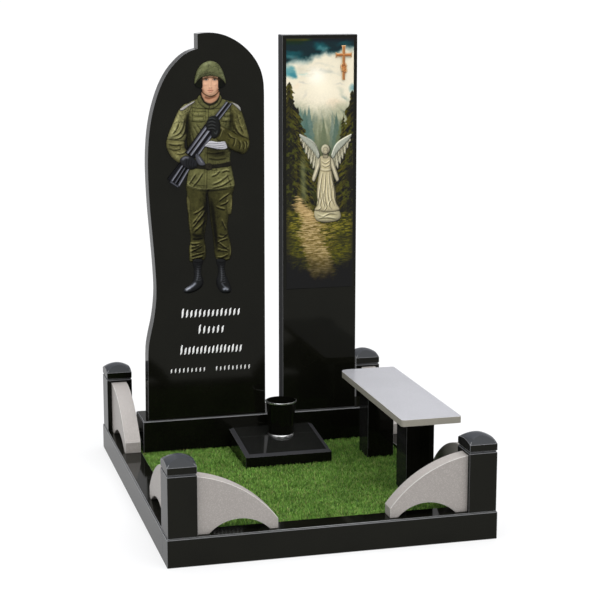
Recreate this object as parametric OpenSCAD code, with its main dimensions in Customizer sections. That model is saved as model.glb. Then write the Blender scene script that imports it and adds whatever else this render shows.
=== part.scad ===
// War memorial grave plot: a granite kerb frame with turf, a round-topped
// stele with a soldier in relief, a tall picture pillar, four corner posts
// with curved wing slabs, a bench, and a sloping slab with a vase.
// Units mm, +Z up, the front faces -Y, the underside lies on z = 0.

/* [Plot] */
// outer width of the kerb frame, left to right
frame_w = 1500; // [1200:10:1800]
// outer depth of the kerb frame, front to back
frame_d = 1906; // [1400:2:2400]
// height of the kerbs above the ground
kerb_h = 130; // [80:5:200]
// width of each kerb
kerb_w = 110; // [80:5:160]
// chamfer on the outer top edge of the kerbs
kerb_c = 5; // [2:1:12]
// height of the turf backing above the ground
turf_h = 106; // [60:2:120]

/* [Corner posts] */
// post width, left to right
post_w = 130; // [100:2:180]
// post depth, front to back
post_d = 156; // [100:2:200]
// distance of the post faces from the outer kerb faces
post_in = 5; // [2:1:20]
// depth of the post foot below the turf
foot_h = 30; // [10:5:60]
// height of the shaft up to the groove
shaft_h = 272; // [180:2:400]
// half height of the V groove under the head
groove_h = 5; // [3:1:10]
// depth of the V groove
groove_in = 6; // [3:1:12]
// height of the eaves above the kerb
eave_h = 312; // [220:2:460]
// rise of the domed head above the eaves, at the centre
dome_rise = 35; // [15:1:60]
// part of that rise which shows as an arch on the left and right faces
dome_side = 14; // [5:1:30]
// slope of the front and back facets of the head, rise over run
facet_slope = 0.8; // [0.4:0.05:2]

/* [Wing slabs] */
// thickness of the wing slabs
wing_t = 78; // [50:2:110]
// height of a wing where it meets the post
wing_h = 261; // [180:1:360]
// radius of the long outer arc
wing_r = 565; // [400:5:900]
// length of the two front wings
wing_len_front = 360; // [250:5:450]
// length of the four side wings
wing_len_side = 432; // [300:2:520]
// distance from the outer kerb face to the wing face
wing_in = 28; // [10:1:60]
// height of the arch cut out of the underside
arch_h = 58; // [30:1:100]
// length of foot left beside the post
foot_post = 54; // [30:1:90]
// length of foot left at the tip
foot_tip = 36; // [20:1:60]

/* [Base beam] */
// height of the base beam above the ground
beam_h = 276; // [180:2:360]
// distance of the base beam ends from the outer kerb faces
beam_in = 128; // [110:2:300]
// distance of the base beam front from the front of the plot
beam_y = 1352; // [1000:2:1500]
// depth of the base beam, front to back
beam_d = 221; // [150:1:320]

/* [Stele and pillar] */
// thickness of the stele and of the pillar
stone_t = 90; // [60:2:140]
// set-back of both from the front of the base beam
stone_in = 17; // [5:1:60]
// left edge of the pillar from the left of the plot
pillar_x = 858; // [780:2:900]
// width of the pillar
pillar_w = 386; // [280:2:460]
// height of the pillar above the base beam
pillar_h = 1919; // [1500:1:2200]
// width of the picture
picture_w = 348; // [260:2:380]
// height of the picture
picture_h = 1260; // [900:5:1500]
// thickness by which the picture stands out
picture_t = 2; // [1:0.5:5]
// thickness of the cross
cross_t = 8; // [4:1:20]
// depth of the soldier relief
relief_t = 16; // [8:1:30]

/* [Bench] */
// left edge of the seat from the left of the plot
seat_x = 1124; // [1000:2:1200]
// width of the seat
seat_w = 287; // [220:1:360]
// front end of the seat from the front of the plot
seat_y = 238; // [150:2:400]
// length of the seat
seat_l = 1000; // [800:5:1200]
// height of the seat top above the ground
seat_top = 512; // [420:2:600]
// thickness of the seat slab
seat_t = 31; // [20:1:60]
// radius of the seat corners
seat_r = 14; // [5:1:40]
// width of the legs, across the seat
leg_w = 134; // [100:1:220]
// thickness of the legs, along the seat
leg_t = 146; // [60:2:150]
// front face of the front leg from the front of the plot
leg_y1 = 394; // [250:2:600]
// front face of the back leg from the front of the plot
leg_y2 = 996; // [800:2:1150]

/* [Flower slab and vase] */
// left edge of the flower slab from the left of the plot
slab_x = 570; // [500:2:700]
// width of the flower slab
slab_w = 436; // [300:2:500]
// front edge of the flower slab from the front of the plot
slab_y = 973; // [850:1:1100]
// thickness at the front edge
slab_front = 66; // [40:1:120]
// thickness at the back edge, against the base beam
slab_back = 108; // [60:1:160]
// width of the bevel along the top edges
slab_bevel = 22; // [8:1:40]
// centre of the vase from the left of the plot
vase_x = 812; // [700:2:900]
// centre of the vase from the front of the plot
vase_y = 1230; // [1050:2:1300]
// outer radius of the vase at the foot
vase_r0 = 61; // [40:1:80]
// outer radius of the vase at the rim
vase_r1 = 76; // [45:1:95]
// height of the vase
vase_h = 188; // [120:2:300]
// wall thickness of the vase
vase_wall = 5; // [3:0.5:10]

/* [Hidden] */

black = [0.09, 0.09, 0.085];
grey = [0.78, 0.76, 0.73];
green = [0.25, 0.5, 0.12];
steel = [0.7, 0.7, 0.68];

stone_y = beam_y + stone_in;
vase_z = turf_h + slab_front + (slab_back - slab_front) * (vase_y - vase_r0 - 10 - slab_y) / (beam_y - slab_y) - 4;

// from plot coordinates (left front ground corner) to the centred frame
module plot() { translate([-frame_w / 2, -frame_d / 2, 0]) children(); }

// point on a Catmull-Rom curve through four points
function cr(a, b, c, d, t) = 0.5 * (2 * b + (c - a) * t
  + (2 * a - 5 * b + 4 * c - d) * t * t + (3 * b - a - 3 * c + d) * t * t * t);
// smooth open curve through a list of points, n steps to a span
function smooth(p, n) = let (m = len(p)) concat(
  [for (i = [0 : m - 2]) for (k = [0 : n - 1])
    cr(p[max(i - 1, 0)], p[i], p[i + 1], p[min(i + 2, m - 1)], k / n)],
  [p[m - 1]]);
// circular arc about c from angle a to angle b
function arc(c, r, a, b, n) = [for (i = [0 : n]) c + r * [cos(a + (b - a) * i / n), sin(a + (b - a) * i / n)]];

// a block whose sides are drawn in by the inset given at each level
module tiers(w, d, levels) {
  pts = [for (l = levels) for (q = [[0, 0], [1, 0], [1, 1], [0, 1]])
    [q[0] * w + (1 - 2 * q[0]) * l[1], q[1] * d + (1 - 2 * q[1]) * l[1], l[0]]];
  n = len(levels);
  polyhedron(pts, concat([[0, 1, 2, 3]],
    [for (i = [0 : n - 2]) for (k = [0 : 3])
      [4 * i + k, 4 * i + 4 + k, 4 * i + 4 + (k + 1) % 4, 4 * i + (k + 1) % 4]],
    [[4 * n - 1, 4 * n - 2, 4 * n - 3, 4 * n - 4]]));
}

// the whole kerb block with its outer top edge chamfered
module kerb_block() { tiers(frame_w, frame_d, [[0, 0], [kerb_h - kerb_c, 0], [kerb_h, kerb_c]]); }

// the kerb frame as a plain ring
module kerb_ring() { difference() {
  translate([-1, -1, -1]) cube([frame_w + 2, frame_d + 2, kerb_h + 1]);
  translate([kerb_w, kerb_w, -2]) cube([frame_w - 2 * kerb_w, frame_d - 2 * kerb_w, kerb_h + 4]);
} }

module front_kerb() { color(black) plot() intersection() {
  kerb_block();
  cube([frame_w, kerb_w, kerb_h]);
} }

module back_kerb() { color(black) plot() intersection() {
  kerb_block();
  translate([0, frame_d - kerb_w, 0]) cube([frame_w, kerb_w, kerb_h]);
} }

module left_kerb() { color(black) plot() intersection() {
  kerb_block();
  translate([0, kerb_w, 0]) cube([kerb_w, frame_d - 2 * kerb_w, kerb_h]);
} }

module right_kerb() { color(black) plot() intersection() {
  kerb_block();
  translate([frame_w - kerb_w, kerb_w, 0]) cube([kerb_w, frame_d - 2 * kerb_w, kerb_h]);
} }

// the bed fills the frame, cut back where the post feet stand in its corners
module turf_bed() { color(green) plot() difference() {
  translate([kerb_w, kerb_w, 0]) cube([frame_w - 2 * kerb_w, frame_d - 2 * kerb_w, turf_h]);
  for (x = [post_in, frame_w - post_in - post_w], y = [post_in, frame_d - post_in - post_d])
    translate([x, y, turf_h - foot_h]) cube([post_w, post_d, foot_h + 1]);
} }

module base_beam() { color(black) plot()
  translate([beam_in, beam_y, turf_h])
    tiers(frame_w - 2 * beam_in, beam_d, [[0, 0], [beam_h - turf_h - 4, 0], [beam_h - turf_h, 4]]);
}

// outline of the stele seen from the front, x from the left of the plot and
// y above the base beam
function stele_outline() = concat(
  [[158, 0], [159, 120]],
  smooth([[160, 250], [163, 365], [174, 435], [193, 520], [205, 610], [208, 690],
    [203, 800], [194, 930], [184, 1060], [178, 1180], [176, 1290], [180, 1390],
    [191, 1485], [212, 1580], [245, 1674], [286, 1748], [337, 1806], [384, 1840], [431, 1856]], 3),
  smooth([[431, 1927], [468, 1932], [506, 1932], [544, 1926], [584, 1913], [636, 1885],
    [684, 1845], [722, 1798], [748, 1746], [761, 1690], [764, 1630]], 6),
  [[764, 0]]);

module stele() { color(black) plot()
  translate([0, stone_y + stone_t, beam_h]) rotate([90, 0, 0])
    linear_extrude(stone_t) polygon(stele_outline());
}

// outline of the standing soldier, as for the stele
soldier_body = [[490, 1796], [528, 1786], [556, 1756], [568, 1715], [573, 1684], [560, 1668],
  [549, 1640], [536, 1606], [548, 1590], [596, 1572], [630, 1556], [645, 1530], [660, 1480],
  [676, 1420], [690, 1370], [680, 1346], [652, 1334], [612, 1346], [600, 1340], [600, 1276],
  [612, 1170], [606, 1080], [602, 960], [597, 870], [590, 806], [572, 800], [572, 706],
  [586, 676], [600, 652], [594, 636], [560, 628], [526, 636], [514, 656], [526, 700],
  [528, 804], [512, 810], [502, 900], [490, 1040], [478, 1040], [462, 900], [452, 812],
  [438, 804], [442, 700], [450, 660], [440, 650], [400, 628], [362, 628], [340, 640],
  [346, 654], [382, 680], [394, 706], [396, 804], [380, 814], [372, 900], [368, 1060],
  [366, 1170], [374, 1280], [356, 1284], [338, 1300], [322, 1320], [290, 1356], [270, 1384],
  [280, 1430], [304, 1500], [326, 1548], [350, 1566], [400, 1588], [440, 1604], [430, 1636],
  [420, 1668], [408, 1680], [412, 1716], [424, 1756], [452, 1786]];
soldier_rifle = [[600, 1596], [616, 1584], [470, 1376], [420, 1316], [352, 1236], [312, 1172],
  [278, 1192], [330, 1270], [372, 1340], [440, 1420]];

module soldier_relief() { color([0.3, 0.32, 0.16]) plot()
  translate([0, stone_y, beam_h]) rotate([90, 0, 0])
    linear_extrude(relief_t) union() { polygon(soldier_body); polygon(soldier_rifle); }
}

module pillar() { color(black) plot()
  translate([pillar_x, stone_y, beam_h]) cube([pillar_w, stone_t, pillar_h]);
}

module picture_panel() { color([0.2, 0.35, 0.3]) plot()
  translate([pillar_x + (pillar_w - picture_w) / 2, stone_y - picture_t, beam_h + pillar_h - 19 - picture_h])
    cube([picture_w, picture_t, picture_h]);
}

// outline of the cross about its own centre line, y above the base beam
function cross_outline() = let (c = 1172, w = 8, a = 42) [
  [c - w, 1692], [c + w, 1692], [c + w, 1722], [c + w + 12, 1736], [c + w + 8, 1752],
  [c + w + 10, 1766], [c + w, 1782], [c + w, 1808], [c + a - 8, 1808], [c + a, 1802],
  [c + a, 1832], [c + a - 8, 1826], [c + w, 1826], [c + w, 1852], [c + w + 4, 1864],
  [c - w - 4, 1864], [c - w, 1852], [c - w, 1826], [c - a + 8, 1826], [c - a, 1832],
  [c - a, 1802], [c - a + 8, 1808], [c - w, 1808], [c - w, 1776], [c - w - 9, 1764],
  [c - w - 6, 1744], [c - w, 1730]];

module cross() { color([0.65, 0.33, 0.14]) plot()
  translate([0, stone_y - picture_t, beam_h]) rotate([90, 0, 0])
    linear_extrude(cross_t) polygon(cross_outline());
}

// rise of the head over its eaves at x, y measured from the post centre
function dome(x, y) = dome_rise - (dome_rise - dome_side) * pow(2 * x / post_w, 2)
  - dome_side * pow(2 * y / post_d, 2);

// domed head: the dome cut by a sloping facet at the front and at the back
module head(n = 12) {
  pts = concat(
    [for (j = [0 : n]) for (i = [0 : n]) let (x = (i / n - 0.5) * post_w, y = (j / n - 0.5) * post_d)
      [x, y, eave_h + max(dome(x, y), 0)]],
    [for (q = [[-1, -1], [1, -1], [1, 1], [-1, 1]]) [q[0] * post_w / 2, q[1] * post_d / 2, shaft_h + 2 * groove_h]]);
  m = n + 1; b = m * m;
  intersection() {
    polyhedron(pts, concat(
      [for (j = [0 : n - 1]) for (i = [0 : n - 1]) [j * m + i, (j + 1) * m + i, (j + 1) * m + i + 1]],
      [for (j = [0 : n - 1]) for (i = [0 : n - 1]) [j * m + i, (j + 1) * m + i + 1, j * m + i + 1]],
      [[b, b + 1, b + 2, b + 3]],
      [concat([for (i = [0 : n]) i], [b + 1, b])],
      [concat([for (i = [n : -1 : 0]) n * m + i], [b + 3, b + 2])],
      [concat([for (j = [n : -1 : 0]) j * m], [b, b + 3])],
      [concat([for (j = [0 : n]) j * m + n], [b + 2, b + 1])]));
    rotate([90, 0, 90]) translate([0, 0, -post_w]) linear_extrude(2 * post_w)
      polygon([[-post_d / 2, 0], [post_d / 2, 0], [post_d / 2, eave_h],
        [0, eave_h + facet_slope * post_d / 2], [-post_d / 2, eave_h]]);
  }
}

// one corner post, rebated over the kerb, with its foot in the bed
module post(x, y) {
  difference() {
    translate([x, y, turf_h - foot_h]) cube([post_w, post_d, kerb_h - turf_h + foot_h + 1]);
    kerb_ring();
  }
  translate([x, y, kerb_h]) union() {
    tiers(post_w, post_d, [[0, 0], [shaft_h, 0], [shaft_h + groove_h, groove_in],
      [shaft_h + 2 * groove_h, 0], [eave_h - 10, 0]]);
    translate([post_w / 2, post_d / 2, 0]) head();
  }
}

module post_front_left() { color(black) plot() post(post_in, post_in); }
module post_front_right() { color(black) plot() post(frame_w - post_in - post_w, post_in); }
module post_back_left() { color(black) plot() post(post_in, frame_d - post_in - post_d); }
module post_back_right() { color(black) plot() post(frame_w - post_in - post_w, frame_d - post_in - post_d); }

// wing outline: u away from the post, v above the kerb, off = how far the
// centre of the long arc lies behind the post face
function wing_outline(len, off) =
  let (zc = wing_h - sqrt(wing_r * wing_r - off * off),
    a0 = acos(off / wing_r), a1 = acos((off + len) / wing_r),
    chord = len - foot_post - foot_tip,
    ar = (chord * chord / 4 + arch_h * arch_h) / (2 * arch_h),
    h = asin(chord / 2 / ar))
  concat([[0, 0]], arc([-off, zc], wing_r, a0, a1, 28), [[len, 0]],
    arc([foot_post + chord / 2, arch_h - ar], ar, 90 - h, 90 + h, 16));

module wing(len, off) {
  rotate([90, 0, 0]) translate([0, 0, -wing_t]) linear_extrude(wing_t) polygon(wing_outline(len, off));
}

module wing_front_left() { color(grey) plot()
  translate([post_in + post_w, wing_in, kerb_h]) wing(wing_len_front, 90);
}
module wing_front_right() { color(grey) plot()
  translate([frame_w - post_in - post_w, wing_in, kerb_h]) mirror([1, 0, 0]) wing(wing_len_front, 90);
}
module wing_left_front() { color(grey) plot()
  translate([wing_in + wing_t, post_in + post_d, kerb_h]) rotate(90) wing(wing_len_side, 5);
}
module wing_left_back() { color(grey) plot()
  translate([wing_in + wing_t, frame_d - post_in - post_d, kerb_h]) mirror([0, 1, 0]) rotate(90) wing(wing_len_side, 5);
}
module wing_right_front() { color(grey) plot()
  translate([frame_w - wing_in, post_in + post_d, kerb_h]) rotate(90) wing(wing_len_side, 5);
}
module wing_right_back() { color(grey) plot()
  translate([frame_w - wing_in, frame_d - post_in - post_d, kerb_h]) mirror([0, 1, 0]) rotate(90) wing(wing_len_side, 5);
}

module bench_seat() { color(grey) plot()
  translate([seat_x, seat_y, seat_top - seat_t]) linear_extrude(seat_t)
    polygon(concat(arc([seat_w - seat_r, seat_r], seat_r, -90, 0, 6),
      arc([seat_w - seat_r, seat_l - seat_r], seat_r, 0, 90, 6),
      arc([3 * seat_r, seat_l - 3 * seat_r], 3 * seat_r, 90, 180, 8),
      arc([seat_r, seat_r], seat_r, 180, 270, 6)));
}

module leg(y) {
  translate([seat_x + (seat_w - leg_w) / 2, y, turf_h]) cube([leg_w, leg_t, seat_top - seat_t - turf_h]);
}
module bench_leg_front() { color(black) plot() leg(leg_y1); }
module bench_leg_back() { color(black) plot() leg(leg_y2); }

// sloping slab with bevelled front and side edges and a round seat for the vase
module flower_slab() { color(black) plot() {
  l = beam_y - slab_y; b = slab_bevel; bz = b * 0.35;
  k = (slab_back - slab_front) / l;
  difference() {
    translate([slab_x, slab_y, turf_h]) polyhedron(
      [[0, 0, 0], [slab_w, 0, 0], [slab_w, l, 0], [0, l, 0],
       [0, 0, slab_front - bz], [slab_w, 0, slab_front - bz], [slab_w, l, slab_back - bz], [0, l, slab_back - bz],
       [b, b, slab_front + k * b], [slab_w - b, b, slab_front + k * b], [slab_w - b, l, slab_back], [b, l, slab_back]],
      [[0, 1, 2, 3], [0, 4, 5, 1], [1, 5, 6, 2], [0, 3, 7, 4], [4, 8, 9, 5], [5, 9, 10, 6], [7, 11, 8, 4],
       [8, 11, 10, 9], [3, 2, 6, 10, 11, 7]]);
    translate([vase_x, vase_y, vase_z]) cylinder(r = vase_r0 + 5, h = 80, $fn = 72);
  }
} }

module vase() { color(black) plot()
  translate([vase_x, vase_y, vase_z]) rotate_extrude($fn = 72) polygon([
    [0, 0], [vase_r0, 0], [vase_r1, vase_h], [vase_r1 - vase_wall, vase_h],
    [vase_r0 - vase_wall, vase_wall + 2], [0, vase_wall + 2]]);
}

// radius of the vase at a height above its foot
function vase_r(z) = vase_r0 + (vase_r1 - vase_r0) * z / vase_h;

module vase_rim_ring() { color(steel) plot()
  translate([vase_x, vase_y, vase_z]) rotate_extrude($fn = 72) polygon([
    [vase_r(vase_h - 8), vase_h - 8], [vase_r(vase_h - 8) + 3, vase_h - 8],
    [vase_r(vase_h) + 4, vase_h - 2], [vase_r(vase_h), vase_h]]);
}

module vase_foot_ring() { color(steel) plot()
  translate([vase_x, vase_y, vase_z]) rotate_extrude($fn = 72) polygon([
    [vase_r(0), 0], [vase_r0 + 4, 0], [vase_r0 + 4, 14], [vase_r(18), 18]]);
}

front_kerb();
back_kerb();
left_kerb();
right_kerb();
turf_bed();
base_beam();
stele();
soldier_relief();
pillar();
picture_panel();
cross();
post_front_left();
post_front_right();
post_back_left();
post_back_right();
wing_front_left();
wing_front_right();
wing_left_front();
wing_left_back();
wing_right_front();
wing_right_back();
bench_seat();
bench_leg_front();
bench_leg_back();
flower_slab();
vase();
vase_rim_ring();
vase_foot_ring();
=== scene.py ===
import math

import bpy
import numpy as np
from mathutils import Matrix, Vector


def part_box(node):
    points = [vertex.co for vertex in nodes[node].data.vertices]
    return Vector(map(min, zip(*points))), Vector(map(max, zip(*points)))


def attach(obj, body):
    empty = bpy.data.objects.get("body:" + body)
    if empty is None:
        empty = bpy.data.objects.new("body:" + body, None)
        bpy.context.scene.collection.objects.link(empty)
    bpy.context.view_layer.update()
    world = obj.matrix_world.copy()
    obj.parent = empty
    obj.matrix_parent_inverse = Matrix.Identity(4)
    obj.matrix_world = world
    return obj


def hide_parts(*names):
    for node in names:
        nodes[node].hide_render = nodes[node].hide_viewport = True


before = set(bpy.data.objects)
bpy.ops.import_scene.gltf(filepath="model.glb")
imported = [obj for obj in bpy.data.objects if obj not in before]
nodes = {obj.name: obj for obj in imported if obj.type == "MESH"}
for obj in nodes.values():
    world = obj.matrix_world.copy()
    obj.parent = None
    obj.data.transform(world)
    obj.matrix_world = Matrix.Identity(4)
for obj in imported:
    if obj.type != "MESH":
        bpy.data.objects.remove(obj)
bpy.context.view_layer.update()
scene = bpy.context.scene

# ---------------------------------------------------------------- sizes, in mm
W, D = 1500.0, 1906.0


def P(x, y, z):
    """Plot coordinates in mm (from the left front ground corner) to metres in the row frame."""
    return ((x - W / 2) / 1000.0, (y - D / 2) / 1000.0, z / 1000.0)


# -------------------------------------------------------------------- camera
cam_data = bpy.data.cameras.new("camera")
cam = bpy.data.objects.new("camera", cam_data)
scene.collection.objects.link(cam)
yaw, pitch, roll = math.radians(14.8785), math.radians(11.2489), math.radians(0.03)
d = Vector((math.sin(yaw) * math.cos(pitch), math.cos(yaw) * math.cos(pitch), -math.sin(pitch)))
r = Vector((math.cos(yaw), -math.sin(yaw), 0.0))
u = r.cross(d)
R2 = math.cos(roll) * r + math.sin(roll) * u
U2 = -math.sin(roll) * r + math.cos(roll) * u
m = Matrix((R2, U2, -d)).transposed().to_4x4()
m.translation = Vector(P(-1150.0, -6528.0, 2483.0))
cam.matrix_world = m
cam_data.sensor_width = 36.0
cam_data.lens = 1633.5 / 600.0 * 36.0
cam_data.clip_end = 1500.0
scene.camera = cam


# ------------------------------------------------------------------ node tools
class Nt:
    """Small helper for building a material's nodes."""

    def __init__(self, name):
        self.m = bpy.data.materials.new(name)
        self.m.use_nodes = True
        self.t = self.m.node_tree
        self.t.nodes.clear()
        self.out = self.n("ShaderNodeOutputMaterial")
        self.b = self.n("ShaderNodeBsdfPrincipled")
        self.t.links.new(self.b.outputs[0], self.out.inputs[0])

    def n(self, kind, **kw):
        node = self.t.nodes.new(kind)
        for k, v in kw.items():
            setattr(node, k, v)
        return node

    def l(self, a, b):
        self.t.links.new(a, b)

    def noise(self, scale, detail=3.0, rough=0.5, vec=None, dim="3D"):
        n = self.n("ShaderNodeTexNoise", noise_dimensions=dim)
        n.inputs["Scale"].default_value = scale
        n.inputs["Detail"].default_value = detail
        n.inputs["Roughness"].default_value = rough
        if vec is not None:
            self.l(vec, n.inputs["Vector"])
        return n

    def vor(self, scale, vec=None, feature="F1"):
        n = self.n("ShaderNodeTexVoronoi", feature=feature)
        n.inputs["Scale"].default_value = scale
        if vec is not None:
            self.l(vec, n.inputs["Vector"])
        return n

    def ramp(self, src, stops):
        n = self.n("ShaderNodeValToRGB")
        e = n.color_ramp.elements
        while len(e) > 1:
            e.remove(e[-1])
        e[0].position, e[0].color = stops[0][0], (*stops[0][1], 1)
        for p, c in stops[1:]:
            x = e.new(p)
            x.color = (*c, 1)
        self.l(src, n.inputs[0])
        return n.outputs[0]

    def mix(self, fac, a, b, mode="MIX"):
        n = self.n("ShaderNodeMix", data_type="RGBA", blend_type=mode)
        for sock, v in ((n.inputs[0], fac), (n.inputs[6], a), (n.inputs[7], b)):
            if isinstance(v, (int, float)):
                sock.default_value = v
            elif isinstance(v, (tuple, list)):
                sock.default_value = (*v, 1)
            else:
                self.l(v, sock)
        return n.outputs[2]

    def math(self, op, a, b=None, clamp=False):
        n = self.n("ShaderNodeMath", operation=op, use_clamp=clamp)
        for i, v in enumerate((a, b)):
            if v is None:
                continue
            if isinstance(v, (int, float)):
                n.inputs[i].default_value = v
            else:
                self.l(v, n.inputs[i])
        return n.outputs[0]

    def maprange(self, src, a, b, c, d):
        n = self.n("ShaderNodeMapRange")
        for i, v in ((1, a), (2, b), (3, c), (4, d)):
            n.inputs[i].default_value = v
        self.l(src, n.inputs[0])
        return n.outputs[0]

    def bump(self, h, strength, dist=0.001, normal=None):
        n = self.n("ShaderNodeBump")
        n.inputs["Strength"].default_value = strength
        n.inputs["Distance"].default_value = dist
        self.l(h, n.inputs["Height"])
        if normal is not None:
            self.l(normal, n.inputs["Normal"])
        return n.outputs[0]

    def obj(self):
        return self.n("ShaderNodeTexCoord").outputs["Object"]


def black_granite(name="black_granite", rough=0.07, tint=(0.0034, 0.0035, 0.0022)):
    k = Nt(name)
    o = k.obj()
    speck = k.vor(420.0, o)
    cloud = k.noise(5.0, 3, 0.5, o)
    fleck = k.noise(900.0, 2, 0.6, o)
    c = k.ramp(cloud.outputs[0], [(0.25, tuple(v * 0.7 for v in tint)), (0.75, tuple(v * 1.25 for v in tint))])
    c = k.mix(k.maprange(speck.outputs["Distance"], 0.0, 0.22, 0.5, 0.0), c, (0.017, 0.018, 0.016))
    c = k.mix(k.maprange(fleck.outputs[0], 0.66, 0.78, 0.0, 0.5), c, (0.028, 0.028, 0.026))
    k.l(c, k.b.inputs["Base Color"])
    k.l(k.maprange(cloud.outputs[0], 0.2, 0.8, rough * 0.8, rough * 1.3), k.b.inputs["Roughness"])
    k.b.inputs["IOR"].default_value = 1.23
    k.b.inputs["Specular Tint"].default_value = (1.0, 0.99, 0.90, 1)
    k.l(k.bump(fleck.outputs[0], 0.012, 0.0004), k.b.inputs["Normal"])
    return k.m


def grey_granite(name="grey_granite", rough=0.45, base=(0.305, 0.282, 0.262), spec=0.3, coarse=1.0):
    k = Nt(name)
    o = k.obj()
    g1 = k.vor(520.0, o)
    g2 = k.vor(170.0, o)
    g3 = k.vor(330.0, o)
    fine = k.noise(1300.0, 2, 0.6, o)
    cloud = k.noise(3.2, 4, 0.55, o)
    sep = k.n("ShaderNodeSeparateColor")
    k.l(g1.outputs["Color"], sep.inputs[0])
    sep3 = k.n("ShaderNodeSeparateColor")
    k.l(g3.outputs["Color"], sep3.inputs[0])
    c = k.ramp(cloud.outputs[0], [(0.3, tuple(v * 0.96 for v in base)), (0.7, tuple(min(1, v * 1.04) for v in base))])
    c = k.mix(k.maprange(sep.outputs[0], 0.0, 1.0, 0.0, 0.30 * coarse), c, tuple(v * 0.66 for v in base))
    c = k.mix(k.maprange(sep3.outputs[1], 0.80, 0.86, 0.0, 0.35 * coarse), c, tuple(min(1.0, v * 1.5) for v in base))
    c = k.mix(k.maprange(g2.outputs["Distance"], 0.0, 0.13, 0.8 * coarse, 0.0), c, (0.05, 0.046, 0.044))
    c = k.mix(k.maprange(fine.outputs[0], 0.60, 0.72, 0.0, 0.3 * coarse), c, tuple(v * 0.5 for v in base))
    k.l(c, k.b.inputs["Base Color"])
    k.l(k.maprange(fine.outputs[0], 0.3, 0.7, rough * 0.85, rough * 1.15), k.b.inputs["Roughness"])
    k.b.inputs["IOR"].default_value = 1.45
    k.b.inputs["Specular IOR Level"].default_value = spec
    k.l(k.bump(fine.outputs[0], 0.05, 0.0005), k.b.inputs["Normal"])
    return k.m


def split_finish_or_sheen(m, axis, polished_along, lo, hi, rough=0.6, edge=0.6, scale=600.0, amount=None, band=None):
    """Second, honed finish on some faces of a slab; on the post tops and on the slab's top and
    chamfer its lighter colour is a painted reflection and sheen. The polished finish stays on faces
    whose normal lies along the axis, or off it when polished_along is False. With amount
    the second finish only comes in partly and gradually, and with band it is kept for
    chamfers, whose normal is at that slope."""
    t = m.node_tree
    out = next(x for x in t.nodes if x.type == "OUTPUT_MATERIAL")
    shown = out.inputs[0].links[0].from_socket
    h = t.nodes.new("ShaderNodeBsdfPrincipled")
    h.inputs["Roughness"].default_value = rough
    h.inputs["Specular IOR Level"].default_value = 0.0
    tc = t.nodes.new("ShaderNodeTexCoord")
    ns = t.nodes.new("ShaderNodeTexNoise")
    ns.inputs["Scale"].default_value = scale
    rp = t.nodes.new("ShaderNodeValToRGB")
    rp.color_ramp.elements[0].position, rp.color_ramp.elements[0].color = 0.3, tuple(lo) + (1,)
    rp.color_ramp.elements[1].position, rp.color_ramp.elements[1].color = 0.7, tuple(hi) + (1,)
    t.links.new(tc.outputs["Object"], ns.inputs["Vector"])
    t.links.new(ns.outputs[0], rp.inputs[0])
    t.links.new(rp.outputs[0], h.inputs["Base Color"])
    sp = t.nodes.new("ShaderNodeSeparateXYZ")
    t.links.new(tc.outputs["Normal"], sp.inputs[0])
    ab = t.nodes.new("ShaderNodeMath")
    ab.operation = "ABSOLUTE"
    t.links.new(sp.outputs[axis], ab.inputs[0])
    if amount is not None:
        gt = t.nodes.new("ShaderNodeMapRange")
        gt.inputs["From Min"].default_value = 0.35
        gt.inputs["From Max"].default_value = 0.95
        gt.inputs["To Max"].default_value = amount
    else:
        gt = t.nodes.new("ShaderNodeMath")
        gt.operation = "LESS_THAN" if polished_along else "GREATER_THAN"
        gt.inputs[1].default_value = edge
        if band is not None:
            gt.operation = "COMPARE"
            gt.inputs[1].default_value, gt.inputs[2].default_value = band
    t.links.new(ab.outputs[0], gt.inputs[0])
    mx = t.nodes.new("ShaderNodeMixShader")
    t.links.new(gt.outputs[0], mx.inputs[0])
    t.links.new(shown, mx.inputs[1])
    t.links.new(h.outputs[0], mx.inputs[2])
    t.links.new(mx.outputs[0], out.inputs[0])
    return m


def metal(name, col, rough):
    k = Nt(name)
    o = k.obj()
    n1 = k.noise(60.0, 4, 0.6, o)
    n2 = k.noise(500.0, 2, 0.5, o)
    c = k.mix(k.maprange(n1.outputs[0], 0.35, 0.7, 0.0, 0.5), col, tuple(v * 0.55 for v in col))
    k.l(c, k.b.inputs["Base Color"])
    k.b.inputs["Metallic"].default_value = 1.0
    k.l(k.maprange(n1.outputs[0], 0.3, 0.7, rough * 0.7, rough * 1.3), k.b.inputs["Roughness"])
    k.l(k.bump(n2.outputs[0], 0.08, 0.0004), k.b.inputs["Normal"])
    return k.m


M_BLACK = black_granite()
M_VASE = black_granite("black_granite_turned")
M_SLAB = black_granite("black_granite_slab")
M_POST = black_granite("black_granite_post")
M_GREY = grey_granite()
M_SEAT = grey_granite("grey_granite_polished", rough=0.20, base=(0.322, 0.322, 0.338), spec=0.5, coarse=0.5)
M_PILLAR = split_finish_or_sheen(black_granite("black_granite_pillar"), 0, False, (0.046, 0.046, 0.047), (0.066, 0.066, 0.068))
split_finish_or_sheen(M_SEAT, 2, True, (0.21, 0.20, 0.165), (0.30, 0.285, 0.24), scale=900.0)
split_finish_or_sheen(M_BLACK, 0, False, (0.018, 0.018, 0.018), (0.028, 0.028, 0.028), amount=0.42)
split_finish_or_sheen(M_POST, 0, False, (0.018, 0.018, 0.018), (0.028, 0.028, 0.028), amount=0.42)
# post tops: the bluish colour on upward faces is a painted reflection that lightens the cap domes
split_finish_or_sheen(M_POST, 2, False, (0.060, 0.064, 0.073), (0.082, 0.087, 0.098), amount=0.5)
# slab top: a little lighter, a painted sheen
split_finish_or_sheen(M_SLAB, 2, False, (0.026, 0.027, 0.028), (0.036, 0.037, 0.038), amount=0.15)
# slab chamfer: paler, a painted highlight along it
split_finish_or_sheen(M_SLAB, 2, True, (0.022, 0.022, 0.023), (0.034, 0.034, 0.036), band=(0.935, 0.035))
M_BRONZE = metal("bronze", (0.62, 0.27, 0.09), 0.33)
M_STEEL = metal("steel", (0.70, 0.70, 0.69), 0.30)


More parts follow.
